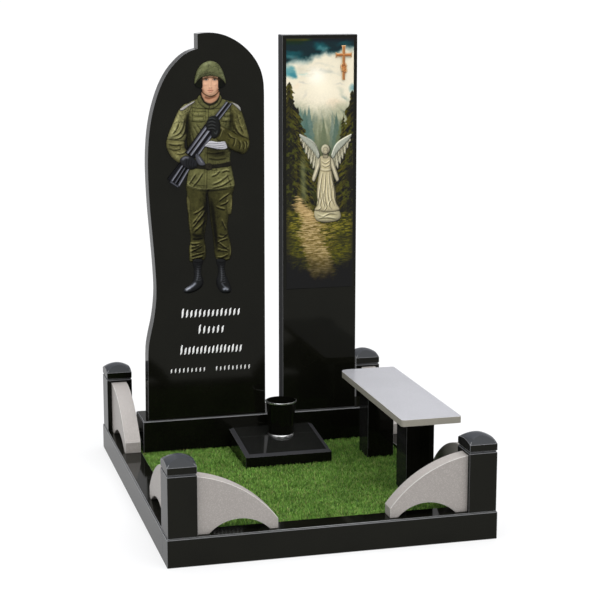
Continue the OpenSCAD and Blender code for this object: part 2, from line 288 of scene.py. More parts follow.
def turf_bed_material():
    k = Nt("turf_backing")
    o = k.obj()
    n1 = k.noise(240.0, 3, 0.6, o)
    n2 = k.noise(14.0, 3, 0.5, o)
    c = k.ramp(n1.outputs[0], [(0.3, (0.014, 0.035, 0.006)), (0.7, (0.045, 0.10, 0.016))])
    c = k.mix(k.maprange(n2.outputs[0], 0.3, 0.7, 0.0, 0.5), c, (0.03, 0.06, 0.012))
    k.l(c, k.b.inputs["Base Color"])
    k.b.inputs["Roughness"].default_value = 0.9
    k.l(k.bump(n1.outputs[0], 0.6, 0.004), k.b.inputs["Normal"])
    return k.m


M_BED = turf_bed_material()


def assign(obj, mat, slot=None):
    for i in range(max(1, len(obj.material_slots))):
        if len(obj.material_slots) == 0:
            obj.data.materials.append(mat)
        else:
            obj.material_slots[i].link = "OBJECT"
            obj.material_slots[i].material = mat


def bevel(obj, width, segs=2, angle=35.0):
    w = obj.modifiers.new("join", "WELD")
    w.merge_threshold = 0.00002
    b = obj.modifiers.new("edge", "BEVEL")
    b.width = width
    b.segments = segs
    b.limit_method = "ANGLE"
    b.angle_limit = math.radians(angle)
    b.use_clamp_overlap = True
    b.harden_normals = False
    e = obj.modifiers.new("crisp", "EDGE_SPLIT")
    e.split_angle = math.radians(28)
    return b


# paler colours for the bevelled edges: painted highlights
M_EDGE_HIGHLIGHT = grey_granite("granite_edge_highlight", rough=0.38, base=(0.12, 0.122, 0.125), spec=0.5, coarse=0.4)
M_EDGE_HIGHLIGHT_PALE = grey_granite("granite_edge_highlight_pale", rough=0.4, base=(0.50, 0.48, 0.45), spec=0.5, coarse=0.4)


def arris(obj, width, mat=None):
    """Bevelled arris, paler than the polish beside it: a painted highlight along the edge."""
    b = bevel(obj, width, 1)
    obj.data.materials.append(mat or M_EDGE_HIGHLIGHT)
    b.material = len(obj.material_slots) - 1


for name, o in nodes.items():
    if name.startswith("wing"):
        assign(o, M_GREY)
        arris(o, 0.0016, M_EDGE_HIGHLIGHT_PALE)
    elif name == "bench_seat":
        assign(o, M_SEAT)
        arris(o, 0.0018, M_EDGE_HIGHLIGHT_PALE)
    elif name == "turf_bed":
        assign(o, M_BED)
    elif name == "cross":
        assign(o, M_BRONZE)
        bevel(o, 0.0015)
    elif name.endswith("ring"):
        assign(o, M_STEEL)
    elif name == "pillar":
        assign(o, M_PILLAR)
        arris(o, 0.003)
    else:
        assign(o, M_BLACK)
        if name == "flower_slab":
            assign(o, M_SLAB)
            arris(o, 0.0016)
        elif name.startswith("post"):
            assign(o, M_POST)
            arris(o, 0.0014)
        elif name.startswith(("stele", "bench")):
            arris(o, 0.0014)
        elif name == "vase":
            assign(o, M_VASE)
        elif name not in ("soldier_relief", "picture_panel"):
            arris(o, 0.0020)

# ------------------------------------------------------- painted relief canvas
# Both pictures are drawn on a slanted drawing sheet (u to the right, v down)
# and carried on to the stone, x and z in mm.
SHEET_FIGURE = np.array([[4.596, -0.17223, -508.21, 0.00058386, 0.00081349, 0.0],
                         [-0.00467, -4.58711, 2366.55, -0.00081061, -0.0000193, -0.00058582]])
SHEET_PICTURE = np.array([[4.57269, -0.18801, -501.91, 0.00063348, 0.00085587, 0.0],
                          [-0.00166, -4.58133, 2365.29, -0.000839, -0.0000191, -0.00060551]])


def lin(c):
    c = np.asarray(c, float) / 255.0
    return np.where(c <= 0.04045, c / 12.92, ((c + 0.055) / 1.055) ** 2.4)


def smooth01(t):
    t = np.clip(t, 0.0, 1.0)
    return t * t * (3 - 2 * t)


def spline(pts, n=5, closed=True):
    """Catmull-Rom curve through the points."""
    p = np.asarray(pts, float)
    k = len(p)
    out = []
    for i in range(k if closed else k - 1):
        if closed:
            a, b, c, e = p[(i - 1) % k], p[i], p[(i + 1) % k], p[(i + 2) % k]
        else:
            a, b, c, e = p[max(i - 1, 0)], p[i], p[i + 1], p[min(i + 2, k - 1)]
        for j in range(n):
            t = j / n
            out.append(0.5 * (2 * b + (c - a) * t + (2 * a - 5 * b + 4 * c - e) * t * t
                              + (3 * b - a - 3 * c + e) * t ** 3))
    if not closed:
        out.append(p[-1])
    return np.array(out)


def lattice_noise(x, z, size, seed):
    """Smooth value noise, one cell = size mm, in 0..1."""
    rng = np.random.RandomState(seed)
    tab = rng.rand(64, 64)
    fx, fz = np.asarray(x) / size + 1000.0, np.asarray(z) / size + 1000.0
    ix, iz = np.floor(fx).astype(int), np.floor(fz).astype(int)
    tx, tz = smooth01(fx - ix), smooth01(fz - iz)
    a, b = tab[iz % 64, ix % 64], tab[iz % 64, (ix + 1) % 64]
    c, d2 = tab[(iz + 1) % 64, ix % 64], tab[(iz + 1) % 64, (ix + 1) % 64]
    return (a * (1 - tx) + b * tx) * (1 - tz) + (c * (1 - tx) + d2 * tx) * tz


def fbm(x, z, size, seed, octaves=4):
    s, amp, tot = 0.0, 1.0, 0.0
    for i in range(octaves):
        s = s + amp * lattice_noise(x, z, size / 2 ** i, seed + i)
        tot += amp
        amp *= 0.55
    return s / tot


class Canvas:
    def __init__(self, x0, x1, z0, z1, step, sheet):
        self.nx, self.nz = int(round((x1 - x0) / step)) + 1, int(round((z1 - z0) / step)) + 1
        self.x = np.linspace(x0, x1, self.nx)
        self.z = np.linspace(z0, z1, self.nz)
        self.sx, self.sz = self.x[1] - self.x[0], self.z[1] - self.z[0]
        self.X, self.Z = np.meshgrid(self.x, self.z)
        self.K = sheet
        self.H = np.zeros_like(self.X)
        # painted shade, multiplied in by shade()
        self.A = np.ones_like(self.X)
        self.C = np.zeros(self.X.shape + (3,))
        self.D = np.full(self.X.shape, -99.0)
        self.contact_shade = 0.45
        # sheet coordinates of every grid point
        a = sheet[:, :2]
        u = np.zeros_like(self.X)
        v = np.zeros_like(self.X)
        inv = np.linalg.inv(a)
        for _ in range(12):
            fx, fz = self.fwd(u, v)
            ex, ez = self.X - fx, self.Z - fz
            u += inv[0, 0] * ex + inv[0, 1] * ez
            v += inv[1, 0] * ex + inv[1, 1] * ez
        self.U, self.V = u, v

    def fwd(self, u, v):
        k = self.K
        b = (u, v, 1.0, u * v, u * u, v * v)
        return sum(k[0, i] * b[i] for i in range(6)), sum(k[1, i] * b[i] for i in range(6))

    def pts(self, p):
        p = np.asarray(p, float)
        x, z = self.fwd(p[:, 0], p[:, 1])
        return np.stack([x, z], 1)

    def window(self, p, pad):
        i0 = max(int((p[:, 0].min() - pad - self.x[0]) / self.sx), 0)
        i1 = min(int((p[:, 0].max() + pad - self.x[0]) / self.sx) + 2, self.nx)
        j0 = max(int((p[:, 1].min() - pad - self.z[0]) / self.sz), 0)
        j1 = min(int((p[:, 1].max() + pad - self.z[0]) / self.sz) + 2, self.nz)
        return slice(j0, max(j1, j0)), slice(i0, max(i1, i0))

    def segdist(self, p, X, Z, closed):
        best = np.full(X.shape, 1e9)
        inside = np.zeros(X.shape, bool)
        k = len(p)
        for i in range(k if closed else k - 1):
            a, b = p[i], p[(i + 1) % k]
            dx, dz = b[0] - a[0], b[1] - a[1]
            L = dx * dx + dz * dz
            if L < 1e-9:
                continue
            t = np.clip(((X - a[0]) * dx + (Z - a[1]) * dz) / L, 0, 1)
            best = np.minimum(best, (X - a[0] - t * dx) ** 2 + (Z - a[1] - t * dz) ** 2)
            if closed:
                c = (a[1] > Z) != (b[1] > Z)
                if dz != 0:
                    inside ^= c & (X < (b[0] - a[0]) * (Z - a[1]) / dz + a[0])
        return np.sqrt(best), inside

    def part(self, pts, base, bulge, width, col, n=5, ao=0.45, aow=5.0, sheet=True, sharp=False):
        p = np.asarray(pts, float) if sharp else spline(pts, n)
        if sheet:
            p = self.pts(p)
        w = self.window(p, 6.0)
        X, Z = self.X[w], self.Z[w]
        d, ins = self.segdist(p, X, Z, True)
        sd = np.where(ins, d, -d)
        t = np.clip(sd / width, 0, 1)
        h = base + bulge * np.sqrt(np.clip(1 - (1 - t) ** 2, 0, 1))
        cov = np.clip(sd / 1.6 + 0.5, 0, 1)
        cc = cov[..., None]
        self.H[w] = np.where(ins, h, self.H[w])
        # painted shade: a dark line where this part lies on what is behind it
        self.A[w] *= 1 - self.contact_shade * np.exp(-np.clip(-sd, 0, 99) / 4.0) * (~ins)
        # painted shade inside the part, deepest at its edge
        self.A[w] = np.where(ins, 1 - ao * np.exp(-d / aow), self.A[w])
        self.C[w] = self.C[w] * (1 - cc) + np.asarray(col, float) * cc
        self.D[w] = np.maximum(self.D[w], sd)
        return w, sd

    def stroke(self, pts, width, depth, col=None, mix=0.6, within=None, n=5, taper=True, sheet=True):
        """A fold, seam or line: height and colour along a curve."""
        p = spline(pts, n, False)
        if sheet:
            p = self.pts(p)
        w = self.window(p, width * 3)
        X, Z = self.X[w], self.Z[w]
        best = np.full(X.shape, 1e9)
        par = np.zeros(X.shape)
        k = len(p)
        for i in range(k - 1):
            a, b = p[i], p[i + 1]
            dx, dz = b[0] - a[0], b[1] - a[1]
            L = max(dx * dx + dz * dz, 1e-9)
            t = np.clip(((X - a[0]) * dx + (Z - a[1]) * dz) / L, 0, 1)
            q = (X - a[0] - t * dx) ** 2 + (Z - a[1] - t * dz) ** 2
            m = q < best
            best = np.where(m, q, best)
            par = np.where(m, (i + t) / (k - 1), par)
        g = np.exp(-best / (width * width))
        if taper:
            g = g * np.clip(np.sin(np.pi * np.clip(par, 0.02, 0.98)) * 1.6, 0, 1)
        g = g * (self.D[w] > 0.0)
        if within is not None:
            g = g * within[w]
        self.H[w] += depth * g
        if col is not None:
            gg = (g * mix)[..., None]
            self.C[w] = self.C[w] * (1 - gg) + np.asarray(col, float) * gg

    def shade(self, gain, light=(-0.5, 0.62, 0.6), amb=0.5, lo=0.35, hi=1.45):
        """Painted light and shade from the height of the drawing."""
        gz, gx = np.gradient(self.H, self.sz, self.sx)
        nx, ny, nz = -gx * gain, np.ones_like(gx), -gz * gain
        L = np.sqrt(nx * nx + ny * ny + nz * nz)
        l = np.array(light) / np.linalg.norm(light)
        lam = (nx * l[0] + nz * l[1] + ny * l[2]) / L
        s = amb + (1 - amb) * lam / l[2]
        return np.clip(s, lo, hi) * self.A


def painted_mesh(name, cv, mask, height, col, y_face, y_back):
    """Closed relief: front from the canvas, walls and a flat back."""
    nz, nx = mask.shape
    cell = mask[:-1, :-1] & mask[1:, :-1] & mask[:-1, 1:] & mask[1:, 1:]
    used = np.zeros_like(mask)
    used[:-1, :-1] |= cell
    used[1:, :-1] |= cell
    used[:-1, 1:] |= cell
    used[1:, 1:] |= cell
    idx = np.full(mask.shape, -1)
    n = int(used.sum())
    idx[used] = np.arange(n)
    X, Z = cv.X.copy(), cv.Z.copy()
    # bring the rim on to the true outline
    core = np.zeros_like(mask)
    core[1:-1, 1:-1] = cell[:-1, :-1] & cell[1:, :-1] & cell[:-1, 1:] & cell[1:, 1:]
    rim = used & ~core
    gz, gx = np.gradient(cv.D, cv.sz, cv.sx)
    g = np.maximum(np.hypot(gx, gz), 0.3)
    move = np.clip(cv.D, 0, cv.sx * 1.1) * rim
    X -= gx / g * move * (cv.D < 90)
    Z -= gz / g * move * (cv.D < 90)
    front = np.stack([X[used], np.full(n, y_face) - height[used], Z[used]], 1)
    j, i = np.nonzero(cell)
    quads = np.stack([idx[j, i], idx[j, i + 1], idx[j + 1, i + 1], idx[j + 1, i]], 1)
    # boundary edges, ordered as in the front faces
    pad = np.zeros((nz + 1, nx + 1), bool)
    pad[1:-1, 1:-1] = cell
    edges = []
    for dj, di, (a, b) in ((-1, 0, ((0, 0), (0, 1))), (0, 1, ((0, 1), (1, 1))),
                           (1, 0, ((1, 1), (1, 0))), (0, -1, ((1, 0), (0, 0)))):
        nb = pad[j + 1 + dj, i + 1 + di]
        jj, ii = j[~nb], i[~nb]
        edges.append(np.stack([idx[jj + a[0], ii + a[1]], idx[jj + b[0], ii + b[1]]], 1))
    e = np.concatenate(edges)
    rimv = np.unique(e)
    back = front[rimv].copy()
    back[:, 1] = y_back
    rmap = np.full(n, -1)
    rmap[rimv] = n + np.arange(len(rimv))
    walls = np.stack([e[:, 1], e[:, 0], rmap[e[:, 0]], rmap[e[:, 1]]], 1)
    verts = np.concatenate([front, back])
    faces = np.concatenate([quads, walls])
    co = np.empty_like(verts)
    co[:, 0], co[:, 1], co[:, 2] = (verts[:, 0] - W / 2) / 1000, (verts[:, 1] - D / 2) / 1000, verts[:, 2] / 1000
    rgb = np.concatenate([col[used], col[used][rimv]])
    return raw_mesh(name, co, faces, rgb)


def raw_mesh(name, co, faces, rgb=None, smooth=True):
    me = bpy.data.meshes.new(name)
    nf, k = faces.shape
    me.vertices.add(len(co))
    me.vertices.foreach_set("co", np.ascontiguousarray(co, dtype=np.float32).ravel())
    me.loops.add(nf * k)
    me.loops.foreach_set("vertex_index", np.ascontiguousarray(faces, dtype=np.int32).ravel())
    me.polygons.add(nf)
    me.polygons.foreach_set("loop_start", np.arange(0, nf * k, k, dtype=np.int32))
    me.polygons.foreach_set("loop_total", np.full(nf, k, dtype=np.int32))
    me.polygons.foreach_set("use_smooth", np.full(nf, smooth))
    me.update(calc_edges=True)
    if rgb is not None:
        at = me.color_attributes.new("paint", "FLOAT_COLOR", "POINT")
        full = np.ones((len(co), 4), dtype=np.float32)
        full[:, :3] = np.clip(rgb, 0, 1)
        at.data.foreach_set("color", full.ravel())
    me.validate()
    o = bpy.data.objects.new(name, me)
    scene.collection.objects.link(o)
    return o


def painted_material(name, rough, ior, grain=0.06, bump=0.05, size=900.0, spec=0.5):
    k = Nt(name)
    o = k.obj()
    at = k.n("ShaderNodeAttribute", attribute_name="paint")
    n1 = k.noise(size, 2, 0.6, o)
    n2 = k.noise(size / 8, 3, 0.6, o)
    c = k.mix(1.0, at.outputs["Color"], k.ramp(n1.outputs[0], [(0.3, (1 - grain,) * 3), (0.7, (1.0,) * 3)]), "MULTIPLY")
    k.l(c, k.b.inputs["Base Color"])
    k.l(k.maprange(n2.outputs[0], 0.3, 0.7, rough * 0.8, rough * 1.2), k.b.inputs["Roughness"])
    k.b.inputs["IOR"].default_value = ior
    k.b.inputs["Specular IOR Level"].default_value = spec
    k.l(k.bump(n1.outputs[0], bump, 0.0005), k.b.inputs["Normal"])
    return k.m


# --------------------------------------------------------- soldier in relief
def soldier():
    cv = Canvas(262, 706, 276 + 624, 276 + 1806, 1.75, SHEET_FIGURE)
    # JLO and TLO: painted shade for folds and hollows; JHI and THI: painted highlights on ridges and edges
    JACK, JLO, JHI = (101, 100, 60), (34, 33, 12), (156, 153, 106)
    TRO, TLO, THI = (62, 60, 29), (10, 9, 2), (150, 144, 92)
    # trousers
    tr, sdr = cv.part([(208, 184), (233.5, 184), (233, 196), (231.8, 208), (229.5, 216), (228.2, 226), (229, 235),
                       (231, 243), (232, 252), (230.5, 259.5), (224, 261.5), (217.5, 260), (215.3, 255), (214.3, 245),
                       (212.8, 232), (211, 220), (209.8, 207), (208.3, 195)], 1.0, 6.0, 26, TRO)
    tl, sdl = cv.part([(187.6, 184), (209, 184), (207.5, 196), (208, 208), (207.6, 220), (206, 230), (205, 240),
                       (206.8, 250), (206, 258), (203.8, 260.8), (197, 262.5), (190.3, 262), (189.6, 255), (189.4, 249),
                       (191, 241), (190.2, 232), (188.8, 222), (188.3, 212), (187.2, 204), (187.4, 194)], 1.2, 6.5, 26, TRO)
    # cargo pockets
    cv.part([(226.5, 197), (232.6, 196), (232, 212), (230.5, 214.5), (227.6, 213)], 5.0, 2.2, 6, (74, 71, 38), n=3)
    cv.part([(187.0, 198), (189.8, 199), (189.9, 211.5), (188.3, 212.5)], 3.4, 2.0, 5, (80, 77, 44), n=3)
    # folds on the left leg: a painted highlight on each ridge and painted shade just below it
    for a in ([(193, 214), (199, 211), (205, 206)], [(192, 228), (198, 221), (205, 213)], [(193, 232), (200, 226), (206, 219)],
              [(192, 224), (197, 218), (203, 210)], [(196, 222), (202, 215), (206, 210)]):
        cv.stroke(a, 4.5, 1.6, THI, 0.45)
        cv.stroke([(q[0] + 0.9, q[1] + 1.5) for q in a], 3.6, -1.6, TLO, 0.75)
    for a in ([(190, 243), (195, 243.5), (201, 242.5)], [(190, 252), (196, 249), (203, 245)], [(191, 256), (198, 254), (205, 252)],
              [(191, 259), (198, 257.5), (204, 256)], [(190.5, 247), (196, 246.5), (200, 245)]):
        cv.stroke(a, 4.0, 1.7, THI, 0.55)
        cv.stroke([(q[0], q[1] + 1.9) for q in a], 3.4, -1.6, TLO, 0.8)
    # painted shade in the hollow at the knee
    cv.stroke([(192, 234), (197, 236.5), (203, 236)], 8.0, -1.4, TLO, 0.8)
    cv.stroke([(192, 240), (197, 240), (204, 238.5)], 3.5, -1.2, TLO, 0.7)
    # folds on the right leg, drawn the same way
    for a in ([(219, 201), (224, 197), (230, 193)], [(220, 205), (226, 203), (229, 200)], [(222, 219), (224, 224), (227, 230)],
              [(218, 236), (223, 237), (228, 233)], [(217, 243), (222, 240), (229, 238)], [(218, 241), (224, 246), (230, 250)],
              [(217, 249), (222, 250), (229, 251)], [(217, 257), (222, 257), (229, 254)], [(216, 206), (221, 208), (226, 209)]):
        cv.stroke(a, 4.0, 1.5, THI, 0.5)
        cv.stroke([(q[0], q[1] + 1.7) for q in a], 3.4, -1.5, TLO, 0.75)
    # painted shade down the inner leg and at the crotch, and painted highlights along the hems
    cv.stroke([(210.5, 196), (212.5, 215), (215.5, 235), (217, 252)], 8, -0.6, TLO, 0.5)
    cv.stroke([(207, 192), (207.6, 204), (208, 216)], 6, -1.2, (14, 10, 4), 0.8)
    cv.stroke([(191, 260.8), (197, 261.3), (203.5, 259.6)], 2.6, 0.8, THI, 0.5, taper=False)
    cv.stroke([(217.5, 258.9), (223, 260.2), (229.5, 258.4)], 2.6, 0.8, THI, 0.5, taper=False)
    # painted highlights along the edges of the legs
    for a, wd, mx in (([(189.6, 198), (189.4, 210), (190.6, 226), (191.8, 234)], 2.4, 0.35), ([(191.2, 244), (191.0, 252), (191.4, 259)], 3.0, 0.65),
                      ([(231.6, 198), (231.2, 212)], 2.2, 0.6), ([(229.8, 243), (230.8, 251), (230.0, 257)], 2.6, 0.6), ([(204.8, 245), (205.0, 254)], 2.2, 0.45)):
        cv.stroke(a, wd, 0.4, THI, mx)
    # painted shade down the inner legs, under the jacket's hem, at the knees and between folds
    for a, wd, mx in (([(204.6, 200), (205.4, 214), (203.6, 228), (203.4, 240)], 6.5, 0.7), ([(212.0, 200), (214.2, 218), (216.2, 236), (217.4, 252)], 8.0, 0.75),
                      ([(197, 190), (208, 191), (220, 190), (230, 189)], 4.5, 0.8), ([(192.5, 238.4), (198, 239.6), (204, 238.4)], 4.4, 0.85),
                      ([(219, 234), (224, 235.6), (228.6, 234.6)], 4.0, 0.7), ([(218.4, 247), (224, 248.6), (229.2, 246.8)], 3.4, 0.6),
                      ([(193, 249.8), (198, 252.8), (203.4, 251.4)], 3.2, 0.7), ([(193.4, 245.4), (198, 246.6), (203, 244.4)], 3.0, 0.7)):
        cv.stroke(a, wd, -0.5, TLO, mx)
    # boots, with painted highlights on the toes and shafts and painted shade at the heels
    BOOT, BHI = (27, 28, 29), (158, 162, 174)
    for s in (0, 1):
        if s == 0:
            cv.part([(193.4, 260), (203.2, 260), (201.8, 268), (201.6, 275), (203.4, 280), (203.6, 284.5), (201.2, 288.2),
                     (196.0, 291.8), (189.6, 293.8), (184.9, 293.0), (183.8, 290.8), (187.0, 287.6), (191.2, 284.6), (194.2, 279.5),
                     (194.4, 270)], 1.2, 6.0, 20, BOOT)
            cv.stroke([(185.6, 290.6), (189.4, 288.6), (193.6, 285.8), (196.6, 282.6)], 7.0, 2.4, BHI, 0.8)
            cv.stroke([(185.4, 290.8), (188.4, 289.6), (191.4, 288.0)], 7.0, 0.8, (176, 180, 190), 0.7)
            cv.stroke([(196.4, 282), (198, 277), (198.5, 268)], 4.6, 1.2, (92, 95, 100), 0.6)
            cv.stroke([(184.5, 293.2), (190, 293.9), (196, 291.4), (202, 287.2)], 2.4, -0.6, (16, 16, 16), 0.9, taper=False)
            cv.stroke([(202.5, 280), (203.2, 284), (201.5, 287)], 3.5, -0.5, (14, 15, 18), 0.8)
            lace = [(196.2, 201.6, v) for v in np.arange(266.0, 282.0, 2.3)]
        else:
            cv.part([(216.9, 260), (225.6, 260), (225.0, 268), (226.0, 274.5), (228.6, 281), (231.2, 287.4), (231.6, 291.2),
                     (229.0, 293.6), (223.6, 293.6), (220.2, 291.2), (217.4, 286.4), (216.8, 281), (218.4, 275), (218.4, 268)],
                    1.2, 6.0, 20, BOOT)
            cv.stroke([(222.8, 290.6), (225.6, 289.2), (229.2, 290.6)], 7.5, 2.4, BHI, 0.85)
            cv.stroke([(221.6, 283), (223.6, 286), (227.6, 289.4)], 4.0, 0.8, (112, 116, 124), 0.6)
            cv.stroke([(221, 283), (222, 277), (221.5, 266)], 4.6, 1.2, (92, 94, 99), 0.6)
            cv.stroke([(219.5, 291.6), (224, 294.0), (231, 292.6)], 2.2, -0.6, (16, 16, 16), 0.9, taper=False)
            cv.stroke([(217.8, 279), (217.6, 284), (219, 289)], 4, -0.5, (14, 15, 18), 0.8)
            lace = [(219.8, 224.6, v) for v in np.arange(266.0, 284.0, 2.3)]
        for a, b, v in lace:
            q = 0.10 * (v - 266)
            cv.stroke([(a + q * s, v), ((a + b) / 2 + q * s, v + 1.0), (b + q * s, v)], 1.3, 0.9, (122, 124, 130), 0.5)
        # painted shadow of the trouser hem on the boot top
        cv.stroke([(193.8 + 23.8 * s, 262), (198 + 23.4 * s, 263.2), (202.8 + 22.6 * s, 262)], 3.0, -0.6, (12, 12, 12), 0.8)
    # jacket body
    cv.part([(200.5, 97), (219.5, 97), (223, 99.4), (229, 101.2), (235, 105), (236, 115), (233.5, 130), (231.6, 148),
             (230.6, 158), (231.6, 166), (233.6, 176), (235, 186.4), (229, 188.2), (220, 189.6), (209, 190.4), (199, 190.2),
             (190.8, 188), (187.2, 186), (188, 176), (189.4, 166), (189, 156), (187.6, 144), (186.6, 130), (185, 116),
             (186, 106), (192, 101.4), (197.5, 99.4)], 4.5, 5.0, 40, JACK)
    jacket = (cv.C[..., 0] > 92) & (cv.C[..., 0] < 125)
    # shadows under the arms
    cv.stroke([(186.5, 114), (188.5, 128), (189.5, 142), (190, 152)], 17, -1.0, JLO, 0.75)
    cv.stroke([(232, 112), (231, 124), (229, 136)], 13, -1.0, JLO, 0.75)
    cv.stroke([(205, 150), (216, 153), (229, 154)], 26, 0.0, (38, 36, 16), 0.75)
    # yoke, placket and pockets, with painted highlights across the pocket flaps
    cv.stroke([(192, 107.8), (200, 108.8), (209, 109.4), (218, 108.8), (230, 107.2)], 2.0, -0.9, JLO, 0.7, taper=False)
    cv.stroke([(208.9, 108), (208.6, 130), (207.6, 160), (207.0, 189)], 1.8, -0.8, JLO, 0.65, taper=False)
    cv.stroke([(205.9, 108), (205.8, 130), (205.0, 160), (204.2, 189)], 1.4, -0.5, JLO, 0.4, taper=False)
    for u0, u1 in ((192.2, 204.6), (221.8, 232.2)):
        for v, wd, mx in ((111.6, 1.6, 0.5), (116.2, 1.8, 0.65), (121.8, 2.6, 0.8)):
            cv.stroke([(u0, v - 0.3), ((u0 + u1) / 2, v + 0.5), (u1, v)], wd, -0.9, JLO, mx, taper=False)
        cv.stroke([(u0 + 1, 119), ((u0 + u1) / 2, 119.6), (u1 - 1, 119)], 4.5, 0.9, JHI, 0.45)
        cv.stroke([(u0 + 1, 113.8), ((u0 + u1) / 2, 114.4), (u1 - 1, 113.8)], 3.6, 0.7, JHI, 0.35)
        cv.stroke([(u0 + 0.6, 109), (u0 + 0.3, 121.5)], 1.5, -0.5, JLO, 0.5, taper=False)
    # folds on the chest and above the belt: a painted highlight beside painted shade
    for a in ([(192, 126), (196, 133), (199, 141)], [(195, 124), (200, 131), (203, 138)], [(191, 132), (193, 141), (196, 149)]):
        cv.stroke(a, 4.5, 1.2, JHI, 0.35)
        cv.stroke([(q[0] + 1.4, q[1]) for q in a], 3.6, -1.1, JLO, 0.5)
    for a in ([(208, 157), (217, 158.8), (228, 157)], [(206, 152), (216, 152.6), (226, 150.4)]):
        cv.stroke(a, 4, 1.0, (92, 89, 52), 0.5)
        cv.stroke([(q[0], q[1] + 1.7) for q in a], 3.0, -1.0, (26, 24, 10), 0.6)
    # belt
    cv.part([(189.6, 163.4), (200, 165.0), (211, 164.8), (222, 163.6), (230.6, 161.6), (231.0, 165.6), (222, 167.6), (211, 168.8),
             (200, 169.0), (189.6, 167.4)], 9.2, 1.6, 5, (30, 28, 20), n=3, ao=0.2)
    cv.part([(206.0, 164.0), (211.6, 163.9), (211.8, 169.6), (206.2, 169.7)], 10.4, 1.4, 4, (40, 37, 27), n=2, ao=0.3)
    # skirt of the jacket: folds in painted highlight and shade, and a painted highlight along the hem
    for a in ([(196, 173), (192, 179), (188.6, 184)], [(203, 172), (198, 180), (192, 187)], [(212, 184), (220, 181), (229, 174)],
              [(211, 188), (222, 185), (233, 178)], [(211, 176), (216, 174), (220, 170)], [(226, 172), (229, 180), (231, 186)],
              [(221, 172), (226, 170), (230, 171)]):
        cv.stroke(a, 4.2, 1.3, JHI, 0.5)
        cv.stroke([(q[0] + 0.7, q[1] + 1.6) for q in a], 3.4, -1.3, JLO, 0.75)
    cv.stroke([(188, 184), (191.5, 187), (200, 189), (209.5, 189.2), (221, 188.3), (234, 185.6)], 2.4, 0.9, JHI, 0.5, taper=False)
    cv.stroke([(189, 180), (193, 184), (200, 186), (209, 186.4)], 2.2, -0.7, JLO, 0.6)
    # neck, collar and undershirt; the neck in a darker skin tone as painted shade under the head, with a painted shadow
    # under the chin
    cv.part([(203.2, 90), (218.4, 90), (218.8, 99), (214.5, 104.6), (210.6, 105.8), (206.4, 104.6), (202.8, 99)], 8.0, 3.0, 22,
            (186, 138, 108), ao=0.6)
    cv.stroke([(204.4, 97), (209, 98.6), (217.4, 96)], 5.5, -1.6, (96, 58, 40), 0.75)
    cv.stroke([(202.6, 99), (205, 102.4), (210.4, 104.2), (215.8, 102.0), (218.8, 98.6)], 4.4, 0.4, (24, 27, 16), 0.95, taper=False)
    cv.part([(200.2, 95.4), (202.2, 99.6), (204.4, 103.0), (209.2, 106.0), (208.8, 109.2), (203.2, 107.0), (199.2, 103.0),
             (197.8, 98.8)], 9.6, 2.2, 7, (100, 99, 60), n=4)
    cv.part([(220.2, 95.0), (218.8, 99.8), (216.0, 103.4), (210.6, 106.0), (210.2, 109.4), (215.8, 107.4), (220.0, 103.4),
             (222.0, 98.8)], 9.6, 2.2, 7, (94, 92, 56), n=4)
    cv.stroke([(202.0, 97.6), (203.8, 101.6), (206.6, 104.2), (209.9, 105.4), (214.6, 104.0), (217.4, 101.4), (219.2, 97.6)], 2.8, 0.5, (26, 30, 16),
              0.95, taper=False)
    # head: plain oval face on standard proportions, eyes half way up the head
    SK = (220, 172, 140)
    hx, top, hh = 210.4, 63.5, 233.0 / 7.2  # a figure 233 high, 7.2 heads tall
    chin, half = top + hh, hh / 3
    face = [(hx + half * math.sin(a) * (1.0 if math.cos(a) > 0 else 1.0 - 0.16 * math.cos(a) ** 2),
             (top + chin) / 2 - hh / 2 * math.cos(a)) for a in np.linspace(0, 2 * math.pi, 20, endpoint=False)]
    # ears in a darker skin tone: painted shade at the sides of the head
    for s in (-1, 1):
        cv.part([(hx + s * half * 0.97, 79.5), (hx + s * (half + 1.5), 79.8), (hx + s * (half + 1.3), 84.5),
                 (hx + s * (half + 0.2), 87.4), (hx + s * half * 0.9, 86)], 8.2, 1.6, 4, (190, 142, 114), n=4)
    cv.part(face, 9.0, 5.4, 36, SK, n=3, ao=0.42, aow=7)
    eye_v, nose_v, mouth_v = top + hh * 0.5, top + hh * 0.75, top + hh * 0.833
    for s in (-1, 1):
        ex = hx + s * half * 0.4
        # socket (painted shade in the hollow), lid, eye, brow, and a painted highlight on the cheek below
        cv.stroke([(ex - 2.3, eye_v), (ex, eye_v - 0.2), (ex + 2.3, eye_v)], 6.2, -1.2, (140, 94, 72), 0.55)
        cv.part([(ex - 1.9, eye_v + 0.1), (ex - 0.9, eye_v - 0.75), (ex + 0.9, eye_v - 0.75), (ex + 1.9, eye_v + 0.1),
                 (ex + 0.8, eye_v + 0.75), (ex - 0.8, eye_v + 0.75)], 12.1, 0.9, 4, (226, 218, 208), n=4, ao=0.3, aow=2)
        cv.part([(ex + 0.85 * math.cos(a), eye_v - 0.02 + 0.78 * math.sin(a)) for a in np.linspace(0, 6.28, 9)[:-1]],
                12.6, 0.6, 3, (74, 70, 60), n=2, ao=0.2)
        cv.stroke([(ex - 2.2, eye_v - 0.1), (ex, eye_v - 1.15), (ex + 2.2, eye_v - 0.1)], 1.7, 0.7, (104, 66, 48), 0.8, taper=False)
        cv.stroke([(ex - 2.0, eye_v + 0.5), (ex, eye_v + 1.1), (ex + 2.0, eye_v + 0.5)], 1.6, 0.35, (176, 128, 102), 0.5)
        cv.stroke([(ex - 2.7, eye_v - 2.5), (ex, eye_v - 3.4), (ex + 2.7, eye_v - 2.6)], 2.2, 0.9, (98, 66, 46), 0.85)
        cv.stroke([(ex + s * 0.8, eye_v + 4.0), (ex + s * 0.6, eye_v + 6.2)], 9.0, 0.9, (226, 178, 148), 0.45)
